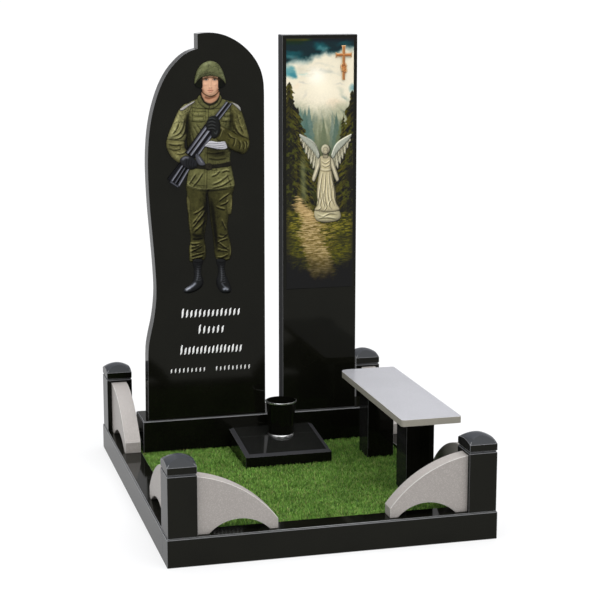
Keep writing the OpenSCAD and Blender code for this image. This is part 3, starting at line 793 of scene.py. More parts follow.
    # nose: painted highlight on the ridge and tip, painted shade beside it and in the nostrils
    cv.stroke([(hx, eye_v - 1.5), (hx, eye_v + 3), (hx, nose_v - 0.8)], 3.2, 1.5, (224, 180, 148), 0.35)
    cv.stroke([(hx - 0.9, nose_v - 0.5), (hx, nose_v - 0.3), (hx + 0.9, nose_v - 0.5)], 3.6, 1.3, (226, 178, 148), 0.5)
    for s in (-1, 1):
        cv.stroke([(hx + s * 1.1, eye_v), (hx + s * 1.5, nose_v - 2.4), (hx + s * 2.1, nose_v - 0.4)], 2.6, -0.25, (184, 134, 106), 0.14)
        cv.stroke([(hx + s * 0.7, nose_v + 0.5), (hx + s * 1.6, nose_v + 0.35)], 1.5, -0.6, (96, 54, 40), 0.75, taper=False)
    # groove above the lip, lips with painted shade between and under them, and a painted highlight on the chin
    cv.stroke([(hx, nose_v + 1.0), (hx, mouth_v - 1.2)], 1.6, -0.4, (186, 138, 112), 0.5)
    cv.stroke([(hx - 3.1, mouth_v - 0.1), (hx - 1.0, mouth_v - 0.8), (hx, mouth_v - 0.5), (hx + 1.0, mouth_v - 0.8),
               (hx + 3.1, mouth_v - 0.1)], 1.9, 0.8, (182, 112, 94), 0.75)
    cv.stroke([(hx - 3.2, mouth_v + 0.1), (hx, mouth_v + 0.25), (hx + 3.2, mouth_v + 0.1)], 1.2, -0.8, (104, 54, 44), 0.9)
    cv.stroke([(hx - 2.3, mouth_v + 0.95), (hx, mouth_v + 1.35), (hx + 2.3, mouth_v + 0.95)], 2.2, 1.0, (196, 126, 106), 0.75)
    cv.stroke([(hx - 1.7, mouth_v + 2.4), (hx, mouth_v + 2.6), (hx + 1.7, mouth_v + 2.4)], 2.0, -0.5, (168, 120, 94), 0.5)
    cv.stroke([(hx - 1.0, chin - 1.9), (hx + 1.0, chin - 1.9)], 5.5, 0.9, (222, 176, 146), 0.4)
    # painted shade down the sides of the face, and warmer cheeks
    for s in (-1, 1):
        cv.stroke([(hx + s * half * 0.92, 80), (hx + s * half * 0.86, 87), (hx + s * half * 0.55, 93.4)], 6.5, -0.4, (150, 100, 76), 0.55)
        cv.stroke([(hx + s * half * 0.58, eye_v + 4.4), (hx + s * half * 0.62, eye_v + 7.5)], 6.0, -0.2, (206, 140, 112), 0.35)
    # chin strap
    cv.stroke([(hx - half - 0.3, 84), (hx - half * 0.86, 90), (hx - half * 0.5, 94.6), (hx, 96.4), (hx + half * 0.5, 94.6),
               (hx + half * 0.86, 90), (hx + half + 0.3, 84)], 2.5, 1.0, (48, 38, 22), 0.92, taper=False)
    # inside of the helmet, seen under the rim on both sides, near-black as painted shade; then a painted shadow of the
    # rim across the forehead
    cv.part([(195.0, 80), (202, 76), (202.6, 82), (202.4, 88), (199.4, 88.6), (196.0, 86.6)], 6.0, 1.5, 8, (14, 17, 6), n=4)
    cv.part([(226.0, 80), (218.8, 76), (218.2, 82), (218.6, 88), (221.4, 88.4), (225.2, 86.4)], 6.0, 1.5, 8, (12, 14, 5), n=4)
    cv.stroke([(202, 79.6), (206, 77.9), (210.4, 77.2), (215, 77.9), (219, 79.6)], 6.5, 0.0, (84, 60, 40), 0.8, taper=False)
    HEL = (104, 108, 72)
    cv.part([(195.0, 84.4), (195.0, 79.4), (196.2, 74.2), (198.5, 69.0), (202.0, 64.6), (206.4, 61.9), (210.6, 61.0), (215.0, 61.9), (219.2, 64.9),
             (222.4, 69.6), (224.4, 74.8), (225.8, 79.8), (226.0, 84.4), (224.2, 81.8), (221.2, 79.0), (217.6, 77.1), (214.0, 76.3), (210.4, 76.1), (206.6, 76.4),
             (203.0, 77.3), (199.6, 79.2), (196.8, 82.2)], 9.5, 6.3, 34, HEL, n=5, ao=0.45, aow=8)
    cv.stroke([(200.8, 74.6), (205.4, 72.4), (210.2, 71.8), (215.2, 72.4), (220.0, 74.6)], 5.0, 0.3, (112, 112, 78), 0.4)
    cv.stroke([(195.3, 83.4), (200.4, 77.9), (205.2, 75.6), (210.4, 75.3), (216.0, 75.9), (221.0, 78.4), (225.8, 83.4)], 1.6, 0.7,
              (98, 98, 68), 0.8, taper=False)
    # painted highlights on the crown and down the sides
    cv.stroke([(203, 65.5), (207, 63.6), (212, 63.4)], 8, 0.2, (136, 140, 104), 0.5)
    cv.stroke([(197.0, 80), (198.4, 74), (201.4, 68.4)], 4, 0.2, (140, 144, 110), 0.4)
    cv.stroke([(224.2, 80), (222.6, 74), (219.4, 68.4)], 4, 0.2, (134, 138, 108), 0.4)
    # upper arms, the left one in a lighter copy of the jacket colour as painted light
    cv.part([(186.6, 104.0), (192.4, 105.5), (190.2, 112), (188.4, 120), (187.6, 130), (186.6, 138), (183.4, 142), (176, 141.4),
             (168.2, 140.4), (167.6, 138.4), (170.2, 131), (173.2, 124), (176.4, 116), (179.4, 110.4), (182.6, 106.6)],
            6.5, 6.0, 26, (120, 117, 76))
    cv.part([(229.8, 102.0), (236, 103.6), (240.4, 107.4), (242.4, 113), (245.0, 121), (247.4, 129.6), (249.4, 137.6), (249.0, 140.6),
             (243.2, 138.8), (236.4, 134.6), (232.4, 130), (231.4, 122), (231.2, 112)], 6.5, 6.0, 26, (100, 97, 56))
    # painted shade along the inner sides of the arms and a painted highlight down the outer side of the left one
    cv.stroke([(188.4, 112), (186.6, 124), (186.4, 136)], 9, -1.2, (30, 27, 10), 0.85)
    cv.stroke([(232.6, 112), (232.6, 122), (234.6, 131)], 8, -1.2, (34, 32, 12), 0.85)
    cv.stroke([(180.6, 112), (177.4, 121), (174, 131), (171, 138)], 9, 0.8, (146, 144, 102), 0.5)
    # folds in painted highlight and painted shade
    for a in ([(183.8, 117), (182.4, 126), (178.6, 133), (172, 136.4)], [(185.4, 122), (184.4, 131), (180, 137.4), (173, 139.4)],
              [(178, 122), (175.6, 129), (171.4, 134)]):
        cv.stroke(a, 3.6, 1.2, (150, 147, 104), 0.5)
        cv.stroke([(q[0] + 1.5, q[1] + 0.8) for q in a], 3.2, -1.3, JLO, 0.75)
    for a in ([(238.6, 114), (241, 124), (245.6, 134)], [(235.6, 122), (238, 130), (244, 136.4)], [(236.4, 127), (240.4, 133.6), (247, 137.6)]):
        cv.stroke(a, 3.4, 1.1, (134, 130, 80), 0.5)
        cv.stroke([(q[0] - 1.5, q[1] + 0.8) for q in a], 3.2, -1.3, (36, 33, 12), 0.75)
    # badges on the sleeves: plain ovals with a rim
    for bx, bv, t in ((176.8, 125.6, -0.35), (241.2, 121.6, 0.30)):
        ring = [(bx + 3.1 * math.cos(a) * math.cos(t) - 5.4 * math.sin(a) * math.sin(-t),
                 bv + 3.1 * math.cos(a) * math.sin(-t) + 5.4 * math.sin(a) * math.cos(t)) for a in np.linspace(0, 2 * math.pi, 13)]
        cv.stroke(ring, 1.8, 0.9, (152, 148, 98), 0.6, taper=False)
        cv.stroke([(bx, bv - 2), (bx, bv + 2)], 5.0, 0.5, (104, 100, 58), 0.5)
    # shoulder boards
    cv.part([(180.2, 110.2), (182.6, 107.6), (188.2, 104.3), (194.6, 101.2), (194.0, 102.8), (188.8, 106.4), (183.0, 110.5)], 12.0, 1.4, 5,
            (158, 154, 150), n=4, ao=0.3, aow=3)
    cv.part([(231.4, 102.6), (236.4, 104.4), (240.0, 107.2), (241.0, 111.4), (239.2, 109.8), (235.6, 106.2)], 12.0, 1.4, 5,
            (162, 160, 155), n=4, ao=0.3, aow=3)
    # forearm across the chest (right of the picture), in a darker copy of the jacket colour as painted shade
    cv.part([(218.6, 126), (221.4, 125.8), (226.6, 128.6), (233, 132.2), (240.6, 136.6), (247.6, 138.4), (250.2, 142.4), (249.4, 148.4),
             (246.2, 153.0), (242.0, 154.4), (235.6, 152.2), (228.2, 147.8), (221.6, 143.0), (216.2, 138.2)], 8.0, 5.6, 24, (74, 71, 34))
    # folds in painted highlight and shade, a painted highlight near the wrist and painted shade along the underside
    for a in ([(223, 129), (221.6, 133), (220, 137.6)], [(240, 140), (241.6, 145), (240.6, 150)], [(244.2, 141), (245.8, 145.6), (244.6, 150)],
              [(236, 138.6), (235.6, 143), (233.8, 147)], [(229, 133), (232, 137), (238, 139)], [(247.4, 141), (248.4, 144), (247.6, 148)]):
        cv.stroke(a, 3.0, 1.3, (142, 138, 92), 0.6)
        cv.stroke([(q[0] - 1.5, q[1] + 0.3) for q in a], 2.8, -1.3, (26, 25, 8), 0.8)
    cv.stroke([(219.4, 126.6), (222, 128.2), (225, 130.4)], 4.4, 1.2, (152, 148, 104), 0.65)
    cv.stroke([(218, 141), (226, 148), (236, 152.6), (243, 153.2)], 7, -0.8, (22, 21, 8), 0.75)
    # forearm at the side (left of the picture)
    cv.part([(167.8, 139.8), (176, 140.8), (184, 141.6), (185.0, 145), (185.4, 148.6), (188.8, 152.4), (190.4, 155.2), (186, 159),
             (180.4, 163.0), (177.0, 161.8), (172.4, 158.0), (168.6, 152.0), (166.6, 145.6)], 7.5, 5.6, 22, (106, 102, 62))
    # folds in painted highlight and shade, and painted highlights low on the sleeve
    for a in ([(168, 143), (175, 144.4), (183, 143.6)], [(168.6, 147), (174, 149.4), (181, 148.0)], [(176, 153.0), (181, 153.4), (186, 151.8)]):
        cv.stroke(a, 3.4, 1.2, (138, 135, 92), 0.5)
        cv.stroke([(q[0], q[1] + 1.7) for q in a], 3.0, -1.2, (46, 43, 18), 0.75)
    cv.stroke([(176.4, 155.6), (179.6, 159.0), (182.2, 158.4)], 7, 1.0, (150, 148, 96), 0.6)
    cv.stroke([(170, 148), (173.6, 155), (178, 160.4)], 5, 0.4, (128, 126, 82), 0.4)
    # rifle: fore end, receiver, magazine, grip and folded stock
    # GHI: painted highlight along the rifle's parts
    GUN, GHI, GLO = (66, 67, 73), (172, 173, 186), (12, 12, 16)

    def bar(a, b, wa, wb, base, bulge, col, hi=0.7, n=2):
        a, b = np.array(a, float), np.array(b, float)
        t = (b - a) / np.linalg.norm(b - a)
        q = np.array([-t[1], t[0]])
        cv.part([a + q * wa, b + q * wb, b - q * wb, a - q * wa], base, bulge, 5, col, sharp=True, ao=0.6, aow=2.5)
        # painted highlight along the bar
        if hi:
            cv.stroke([a + t * 0.6 - q * wa * 0.15, b - t * 0.6 - q * wb * 0.15], max(wa, wb) * 2.0, 0.4, GHI, hi, taper=False)

    bar((228.8, 103.0), (214.4, 121.5), 2.5, 2.7, 11.0, 1.0, (22, 22, 26), 0)
    bar((227.4, 102.0), (212.8, 120.6), 1.25, 1.3, 12.4, 2.2, GUN, 0.75)
    bar((231.2, 103.4), (216.6, 122.4), 1.15, 1.2, 12.4, 2.2, GUN, 0.6)
    bar((209.6, 127.2), (189.4, 156.0), 5.4, 5.6, 11.0, 1.0, (20, 20, 25), 0)
    bar((206.6, 127.0), (187.2, 153.6), 1.7, 1.5, 12.4, 2.2, GUN, 0.8)
    bar((210.2, 129.0), (190.6, 155.8), 1.5, 1.4, 12.8, 2.0, (96, 97, 102), 0.85)
    bar((212.6, 134.0), (196.4, 157.0), 1.3, 1.5, 12.2, 2.0, GUN, 0.7)
    cv.part([(207.4, 142.6), (211, 141.0), (218, 142.2), (224.6, 141.6), (226.2, 144.0), (227.4, 148.2), (223, 149.6), (214.6, 149.0),
             (205.8, 146.8), (204.6, 146.0)], 12.0, 2.2, 6, (190, 189, 194), n=4, ao=0.35, aow=3)
    for q in (0.0, 2.3, 4.3):
        cv.stroke([(206.6, 143.9 + q * 0.75), (214.5, 144.0 + q), (225.6, 142.8 + q)], 1.1, -0.7, (70, 70, 76), 0.75, taper=False)
    cv.part([(195.6, 154.6), (199.0, 155.0), (204.6, 162.6), (205.2, 165.0), (202.4, 166.0), (199.0, 165.0), (196.2, 160.8)], 12.0, 1.8, 5,
            (84, 85, 92), n=4)
    cv.stroke([(198.4, 157.0), (202.6, 163.4)], 2.4, 0.5, GHI, 0.6)
    # folded stock: two rods and the butt
    bar((186.4, 161.0), (172.0, 182.6), 3.6, 5.4, 9.0, 0.8, (18, 18, 22), 0)
    bar((184.0, 163.6), (170.6, 183.2), 1.05, 1.35, 11.0, 2.2, GUN, 0.75)
    bar((187.2, 164.4), (174.2, 185.2), 0.8, 0.9, 11.0, 2.0, (52, 53, 58), 0.5)
    bar((190.8, 165.6), (178.0, 187.2), 1.15, 1.45, 11.0, 2.2, GUN, 0.7)
    bar((170.2, 182.0), (178.4, 187.4), 1.3, 1.3, 11.6, 2.0, (44, 45, 50), 0.35)
    # gloves, with painted shade between the fingers and under the left hand, and painted highlights on the knuckles
    GL = (27, 28, 27)
    cv.part([(207.4, 120.6), (209.6, 117.2), (213.6, 115.8), (217.4, 117.4), (219.6, 121.4), (220.4, 126.4), (219.8, 131.6),
             (217.4, 136.8), (213.6, 138.4), (211.0, 135.8), (211.2, 131.4), (208.4, 130.8), (206.2, 127.6), (206.2, 123.6)], 12.6, 2.8, 13, GL)
    for k in range(4):
        v0 = 119.4 + 3.3 * k
        cv.stroke([(207.8 - 0.3 * k, v0 + 1.6), (212.2, v0 + 0.4), (216.4, v0 + 2.2)], 1.2, -1.4, (8, 9, 8), 0.85)
        cv.stroke([(208.0 - 0.3 * k, v0), (212.0, v0 - 1.1), (216.0, v0 + 0.4)], 2.6, 0.5, (84, 86, 86), 0.55)
    cv.stroke([(213.6, 132), (216.2, 134), (217.4, 130)], 3.2, 0.6, (84, 88, 86), 0.55)
    cv.part([(180.0, 159.6), (182.4, 157.0), (186.4, 155.6), (190.6, 156.8), (195.0, 159.4), (197.4, 162.8), (196.8, 167.0), (193.0, 169.4),
             (187.6, 169.0), (183.2, 166.2), (180.4, 163.2)], 12.4, 3.0, 14, (34, 35, 38))
    cv.stroke([(181.8, 160.4), (185.0, 157.8), (189.4, 158.2)], 6.0, 0.6, (124, 124, 132), 0.75)
    for k in range(4):
        cv.stroke([(187.0 + 2.4 * k, 158.4 + 0.9 * k), (186.2 + 2.5 * k, 163.0 + 0.8 * k), (187.4 + 2.2 * k, 167.4 + 0.3 * k)], 1.2, -1.3,
                  (8, 8, 9), 0.85)
    cv.stroke([(188, 166.4), (192, 168), (196, 166.4)], 5, 0.0, (14, 15, 12), 0.7)
    # cloth: broad wrinkles and the weave's unevenness on green areas only, with painted shade darkening along the
    # creases
    green = (cv.C[..., 1] > cv.C[..., 2] * 1.18) & (cv.C[..., 0] < cv.C[..., 1] * 1.16)
    n1 = fbm(cv.X, cv.Z, 34, 11, 4)
    n2 = fbm(cv.X + 0.6 * cv.Z, cv.Z * 0.6, 16, 31, 3)
    cv.H += np.where(green, (n1 - 0.5) * 1.6 + (n2 - 0.5) * 0.9, 0.0)
    tone = np.where(green, 0.66 + 0.62 * fbm(cv.X, cv.Z, 22, 51, 4), 1.0)
    tone = tone * np.where(green, 0.80 + 0.40 * fbm(cv.X, cv.Z, 7, 57, 2), 1.0)
    for sx_, sz_, sc, sd_ in ((1.0, 0.55, 30, 71), (0.6, 1.1, 24, 77)):
        r = np.abs(fbm(cv.X * sx_ + 0.35 * cv.Z, cv.Z * sz_, sc, sd_, 3) - 0.5)
        crease = np.exp(-(r / 0.022) ** 2) * smooth01((fbm(cv.X, cv.Z, 60, sd_ + 2, 2) - 0.42) / 0.12)
        cv.H -= np.where(green, 0.9 * crease, 0.0)
        tone = tone * np.where(green, 1 - 0.34 * crease, 1.0)

    def shade_and_light_zone(cu, cw, ru, rv, amount):
        r = ((cv.U - cu) / ru) ** 2 + ((cv.V - cw) / rv) ** 2
        return 1 + amount * np.exp(-r)

    # painted shade and light over broad areas: darker under the arms and the forearm, between the legs, at the knees
    # and at the boot tops, lighter on the chest, the left arm and forearm, the jacket's skirt and the thighs
    painted_shade_and_light = np.ones_like(cv.U)
    for q in ((218, 155, 14, 9, -0.5), (218, 146, 8, 5, -0.3), (170, 150, 4, 14, -0.3), (176, 150, 8, 3, -0.2), (211, 178, 10, 4, 0.15), (190, 140, 5, 20, -0.5), (224, 130, 6, 9, -0.35), (186, 130, 5, 12, -0.35),
              (238, 150, 12, 6, -0.3), (208, 206, 6, 20, -0.55), (215, 226, 6, 26, -0.35), (199, 237, 8, 4.5, -0.5),
              (196, 178, 6, 5, -0.25), (203, 250, 5, 8, -0.3), (198, 112, 12, 8, 0.18), (178, 118, 6, 14, 0.3), (178, 152, 7, 6, 0.25),
              (243, 124, 3, 12, -0.15), (228, 184, 8, 5, 0.2), (230, 206, 4, 9, 0.25), (190, 200, 4, 14, 0.1), (232, 118, 6, 12, -0.2),
              (197, 266, 9, 5, -0.45), (221, 266, 9, 5, -0.35)):
        painted_shade_and_light = painted_shade_and_light * shade_and_light_zone(*q)
    dark_ok = cv.C[..., 0] < 160
    tone = tone * np.where(dark_ok, painted_shade_and_light, 1.0)
    s = cv.shade(2.1, light=(-0.5, 0.6, 0.65), amb=0.34, lo=0.14, hi=1.65)
    skin = (cv.C[..., 0] > cv.C[..., 1] * 1.18) & (cv.C[..., 0] > 120)
    s = np.where(skin, 1 + (s - 1) * 0.5, s)
    col = lin(np.clip(cv.C, 0, 255)) * (tone * np.clip(s, 0, 2))[..., None] * 0.93
    h = np.clip(cv.H, 0.6, 15.9)
    h = np.where(cv.D < 2.5, np.minimum(h, 0.8 + 5.0 * np.clip(cv.D, 0, 2.5)), h)
    return painted_mesh("soldier_relief_carving", cv, cv.D > 0.0, h, np.clip(col, 0.0015, 0.9), 1369.0, 1369.4)


# ------------------------------------------------------- cross on the picture
def cross_casting():
    """Cast cross: raised border painted pale as a highlight along its edges, darker middle, a small leaf spray low
    down.
    """
    c, z = 1172.0, 276.0
    cv = Canvas(c - 44, c + 44, z + 1690, z + 1866, 0.9, SHEET_PICTURE)
    cv.contact_shade = 0.0
    w, a = 8, 42
    half = [(w, 1692), (w, 1722), (w + 12, 1736), (w + 8, 1752), (w + 10, 1766), (w, 1782), (w, 1808), (a - 8, 1808), (a, 1802),
            (a, 1832), (a - 8, 1826), (w, 1826), (w, 1852), (w + 4, 1864)]
    left = [(-w - 4, 1864), (-w, 1852), (-w, 1826), (-a + 8, 1826), (-a, 1832), (-a, 1802), (-a + 8, 1808), (-w, 1808), (-w, 1776),
            (-w - 9, 1764), (-w - 6, 1744), (-w, 1730), (-w, 1692)]
    outline = [(c + q[0], z + q[1]) for q in half + left]
    cv.part(outline, 2.5, 2.0, 4, (214, 176, 128), sheet=False, sharp=True, ao=0.25, aow=2)
    e = 3.2
    inner = [(w - e, 1696), (w - e, 1726), (w + 5, 1738), (w + 3, 1751), (w + 4, 1762), (w - e, 1778), (w - e, 1808 + e),
             (a - 6, 1808 + e), (a - 3, 1807), (a - 3, 1827), (a - 6, 1826 - e), (w - e, 1826 - e), (w - e, 1853), (w - 1, 1861)]
    inner_l = [(-w + 1, 1861), (-w + e, 1853), (-w + e, 1826 - e), (-a + 6, 1826 - e), (-a + 3, 1827), (-a + 3, 1807), (-a + 6, 1808 + e),
               (-w + e, 1808 + e), (-w + e, 1774), (-w - 4, 1763), (-w - 2, 1745), (-w + e, 1732), (-w + e, 1696)]
    cv.part([(c + q[0], z + q[1]) for q in inner + inner_l], 3.6, 2.6, 4, (150, 84, 30), sheet=False, sharp=True, ao=0.5, aow=1.6)
    # painted highlight along the middle of each bar
    cv.stroke([(c, z + 1698), (c - 0.5, z + 1780), (c, z + 1858)], 2.2, 0.7, (206, 140, 66), 0.75, taper=False, sheet=False)
    cv.stroke([(c - 36, z + 1817), (c, z + 1817.4), (c + 36, z + 1817)], 2.2, 0.7, (200, 134, 62), 0.7, taper=False, sheet=False)
    for q in ((-4, 1734, -9, 1746), (-3, 1742, -11, 1758), (3, 1732, 13, 1742), (3, 1744, 12, 1754), (3, 1756, 12, 1766)):
        cv.stroke([(c + q[0], z + q[1]), ((2 * c + q[0] + q[2]) / 2, z + (q[1] + q[3]) / 2 + 2), (c + q[2], z + q[3])], 2.0, 1.2,
                  (220, 168, 100), 0.8, sheet=False)
    for q in ((-10, 1736, 12, 1728), (-8, 1768, 13, 1760)):
        cv.stroke([(c + q[0], z + q[1]), (c + q[2], z + q[3])], 1.6, -0.6, (84, 42, 14), 0.7, taper=False, sheet=False)
    cv.H += (fbm(cv.X, cv.Z, 6, 401, 2) - 0.5) * 0.5
    s = cv.shade(0.9, light=(-0.5, 0.6, 0.62), amb=0.5, lo=0.45, hi=1.4)
    tone = 0.85 + 0.3 * fbm(cv.X, cv.Z, 9, 403, 3)
    col = lin(np.clip(cv.C, 0, 255)) * (s * tone)[..., None] * 1.05
    h = np.clip(cv.H, 0.5, 7.9)
    return painted_mesh("cross_casting", cv, cv.D > 0.0, h, np.clip(col, 0.002, 0.95), 1367.0, 1367.3)


# ------------------------------------------------------ picture on the pillar
def picture():
    b0, b1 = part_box("picture_panel")
    x0, x1 = b0[0] * 1000 + W / 2, b1[0] * 1000 + W / 2
    z0, z1 = b0[2] * 1000, b1[2] * 1000
    cv = Canvas(x0, x1, z0, z1, 2.18, SHEET_PICTURE)
    U, V, X, Z = cv.U, cv.V, cv.X, cv.Z
    cv.D[:] = 99.0

    def put(col, m):
        m = np.clip(m, 0, 1)[..., None]
        cv.C[:] = cv.C * (1 - m) + np.asarray(col, float) * m

    w1, w2 = fbm(X, Z, 70, 131, 4) - 0.5, fbm(X, Z, 70, 151, 4) - 0.5
    Uw, Vw = U + w1 * 13, V + w2 * 11

    def blob(cu, cvv, ru, rv, soft=0.6, rot=0.0, warp=True):
        c, s = math.cos(rot), math.sin(rot)
        uu, vv = (Uw, Vw) if warp else (U, V)
        a, b = (uu - cu) * c + (vv - cvv) * s, -(uu - cu) * s + (vv - cvv) * c
        r = np.sqrt((a / ru) ** 2 + (b / rv) ** 2)
        return 1 - smooth01((r - (1 - soft)) / soft)

    n_big = fbm(X, Z, 90, 3, 5)
    n_mid = fbm(X, Z, 38, 17, 5)
    n_fin = fbm(X, Z, 12, 29, 3)
    n_str = fbm(X * 0.35 + Z * 0.12, Z * 1.6, 24, 171, 4)
    wob = (n_mid - 0.5)
    # sky
    cv.C[:] = (12, 42, 46)
    put((8, 26, 31), (42.5 - V) / 5)
    put((30, 84, 90), blob(294, 55, 15, 5, 0.9) * 0.8 + blob(321, 46.5, 9, 6, 0.9) * 0.9 + blob(344, 43.5, 13, 4, 0.9) * 0.5)
    put((82, 140, 142), blob(324, 48.6, 8, 3.6, 0.9) * 0.6 + blob(292, 58.5, 12, 2.8, 0.9) * 0.6)
    put((78, 74, 14), (1 - smooth01((U - 303) / 12)) * (1 - smooth01((np.abs(V - 39.3) - 0.9) / 1.6)) * 0.85)
    put((40, 46, 18), (1 - smooth01((U - 298) / 10)) * (1 - smooth01((V - 41.5) / 5)) * 0.6)
    # clouds
    edge = np.interp(U, [285, 292, 300, 308, 314, 320, 326, 334, 340, 346, 353], [61.5, 61, 60, 58.5, 56.5, 54.0, 50.2, 51.2, 49.4, 46.6, 45.6])
    cl = smooth01((V - edge + wob * 8) / 6.5)
    put((158, 176, 168), smooth01((V - edge + 3.2 + wob * 10) / 6.0) * 0.75)
    cream = np.array((232, 223, 198.0))
    put(cream, cl)
    put((200, 196, 178), cl * smooth01((n_big - 0.44) / 0.2) * blob(307, 68, 20, 13, 0.9) * 0.75)
    put((206, 203, 184), cl * smooth01((n_str - 0.42) / 0.2) * blob(328, 70, 22, 14, 0.9) * 0.85)
    put((190, 190, 176), cl * smooth01((n_mid - 0.46) / 0.14) * blob(326, 69, 10, 4, 0.9, 0.4) * 0.6)
    put((78, 144, 150), blob(291.6, 72.6, 7.4, 9.0, 0.75) * 0.95)
    put((54, 124, 136), blob(293.6, 76.6, 6.6, 4.2, 0.9, 0.5) * 0.9)
    put((176, 204, 192), blob(302.0, 74.6, 5.0, 2.6, 0.9) * 0.7)
    put((206, 212, 196), blob(306.0, 77.0, 6.0, 2.0, 0.9) * 0.5)
    put((122, 160, 160), blob(350.8, 86.8, 6.6, 6.6, 0.85) * 0.95)
    put((150, 166, 156), blob(345.0, 98.6, 7.4, 2.6, 0.95, 0.85) * 0.9)
    put((188, 190, 170), blob(340, 92, 9, 4, 0.95, 0.8) * 0.6)
    put((196, 192, 178), blob(303, 84.6, 9, 1.8, 0.95) * 0.75 + blob(337, 83.4, 8, 1.6, 0.95) * 0.6 + blob(304, 96, 7, 1.8, 0.95, -0.8) * 0.45)
    put((240, 214, 182), blob(336, 105, 12, 6, 0.95) * 0.5 + blob(296, 88, 6, 6, 0.95) * 0.35)
    # soft streaks spreading from the bright place
    a0 = np.arctan2(V - 84.0, U - 320.0)
    r0 = np.hypot(U - 320.0, V - 84.0)
    st = fbm(a0 * 150, r0 * 0.8, 16, 191, 3)
    put((250, 242, 222), cl * smooth01((st - 0.52) / 0.16) * smooth01((26 - r0) / 14) * smooth01((r0 - 4) / 8) * 0.12)
    put((208, 204, 184), cl * smooth01((0.46 - st) / 0.16) * smooth01((30 - r0) / 12) * smooth01((r0 - 8) / 8) * 0.12)
    # haze and rays from the bright place
    gu, gv = 318.0, 88.0
    ang = np.arctan2(U - gu, np.maximum(V - gv, 0.5))
    ray = fbm(ang * 200, np.hypot(U - gu, V - gv) * 0.5, 15, 71, 3)
    haze = smooth01((V - 97 + wob * 9 - 4 * np.cos((U - 322) / 9)) / 24)
    put((132, 138, 112), haze * 0.97)
    put((96, 104, 76), smooth01((V - 118 + wob * 8) / 26) * 0.75)
    put((84, 108, 98), smooth01((V - 104 + wob * 8) / 16) * smooth01((309 - U) / 9) * 0.85)
    put((182, 180, 150), haze * smooth01((ray - 0.44) / 0.26) * smooth01((152 - V) / 34) * smooth01((V - 98) / 16) * 0.75)
    put((92, 112, 104), haze * smooth01((0.47 - ray) / 0.2) * smooth01((150 - V) / 30) * smooth01((V - 102) / 16) * 0.45)
    put((246, 237, 212), blob(321, 86, 20, 19, 0.95, 0, False) * 0.85)
    put((255, 250, 234), blob(316, 76, 15, 13, 1.0, 0, False) * 0.85)
    put((214, 206, 178), cl * smooth01((n_str - 0.47) / 0.2) * blob(303, 70, 16, 14, 0.9) * 0.6)
    put((150, 172, 166), blob(299, 62, 12, 5, 0.95) * 0.45 + blob(347, 57, 8, 6, 0.95) * 0.4)
    # far spires in the mist
    for su, st, sw, scol, sm in ((309.0, 105, 0.16, (86, 112, 106), 0.8), (305.0, 108, 0.2, (76, 104, 96), 0.85), (332.4, 110, 0.10, (104, 122, 112), 0.7),
                                 (336.4, 111.5, 0.15, (78, 100, 88), 0.85), (323.8, 117.5, 0.13, (98, 108, 82), 0.8), (300.5, 106, 0.16, (96, 124, 112), 0.6),
                                 (341.0, 118, 0.2, (96, 104, 70), 0.8), (316.5, 124, 0.1, (112, 122, 96), 0.5)):
        w = (V - st) * sw * (0.75 + 0.5 * lattice_noise(X * 0, Z, 9, int(su * 10) % 97)) + 0.1
        put(scol, smooth01((w - np.abs(U - su)) / 0.8 + 0.3) * (V > st) * smooth01((166 - V) / 40) * sm)
    # forest floor and the dark between the trees
    put((58, 62, 30), smooth01((V - 142 + wob * 10) / 40) * 0.95)
    put((44, 46, 20), smooth01((V - 160) / 40) * (0.4 + 0.6 * n_mid))

    def conifer(cu, topv, spread, base_v, side, dark, light, seed):
        """A fir: tiers of drooping boughs on both sides of its stem; side is not used."""
        t = (V - topv)
        tier = lattice_noise(X * 0, Z + 2.5 * np.abs(U - cu), 10.5, seed)
        w = np.clip(t, 0, None) ** 0.86 * spread * (0.62 + 0.62 * tier)
        m = smooth01((w - np.abs(U - cu) + (n_fin - 0.5) * 2.6) / 1.1) * (t > 0) * (V < base_v)
        put(dark, m * 0.97)
        xc = X[:, int(np.argmin(np.abs(U[0] - cu)))][:, None]
        droop = Z + 0.9 * np.abs(X - xc)
        boughs = fbm(X * 0.7, droop * 1.9, 15, seed + 3, 4)
        twigs = fbm(X * 1.3, droop * 1.6, 7, seed + 9, 3)
        out_ = smooth01((np.abs(U - cu) / np.maximum(w, 0.5) - 0.0) / 0.7)
        put(light, m * smooth01((boughs - 0.46) / 0.16) * (0.35 + 0.65 * out_) * 0.62)
        put(light, m * smooth01((twigs - 0.50) / 0.12) * (0.3 + 0.7 * out_) * 0.5)
        put((18, 20, 9), m * smooth01((0.47 - boughs) / 0.12) * 0.6)

    conifer(298.0, 106, 0.34, 212, 0, (34, 40, 20), (84, 86, 40), 5)
    conifer(289.2, 80, 0.50, 224, 0, (32, 31, 12), (104, 98, 42), 9)
    conifer(343.4, 111, 0.26, 216, 0, (46, 45, 18), (112, 104, 46), 13)
    conifer(352.4, 88.5, 0.46, 224, 0, (32, 31, 12), (96, 90, 32), 21)
    put((32, 32, 18), smooth01((297.5 - U + wob * 6) / 7) * smooth01((V - 120) / 30) * smooth01((222 - V) / 24) * 0.8)
    put((30, 29, 14), smooth01((U - 343.5 + wob * 6) / 6) * smooth01((V - 150) / 26) * smooth01((216 - V) / 18) * 0.85)
    put((86, 90, 36), (smooth01((n_fin - 0.56) / 0.1) * smooth01((V - 116) / 10) * smooth01((214 - V) / 20)
                       * np.clip(smooth01((303 - U) / 8) + smooth01((U - 338) / 5), 0, 1)) * 0.55)
    # a shaft of light left of the angel
    shaft = (1 - smooth01((np.abs(U - (303.4 + (V - 180) * 0.03)) - 0.4) / 4.6)) * smooth01((V - 146) / 26) * smooth01((208 - V) / 14)
    put((124, 132, 100), shaft * 0.5)
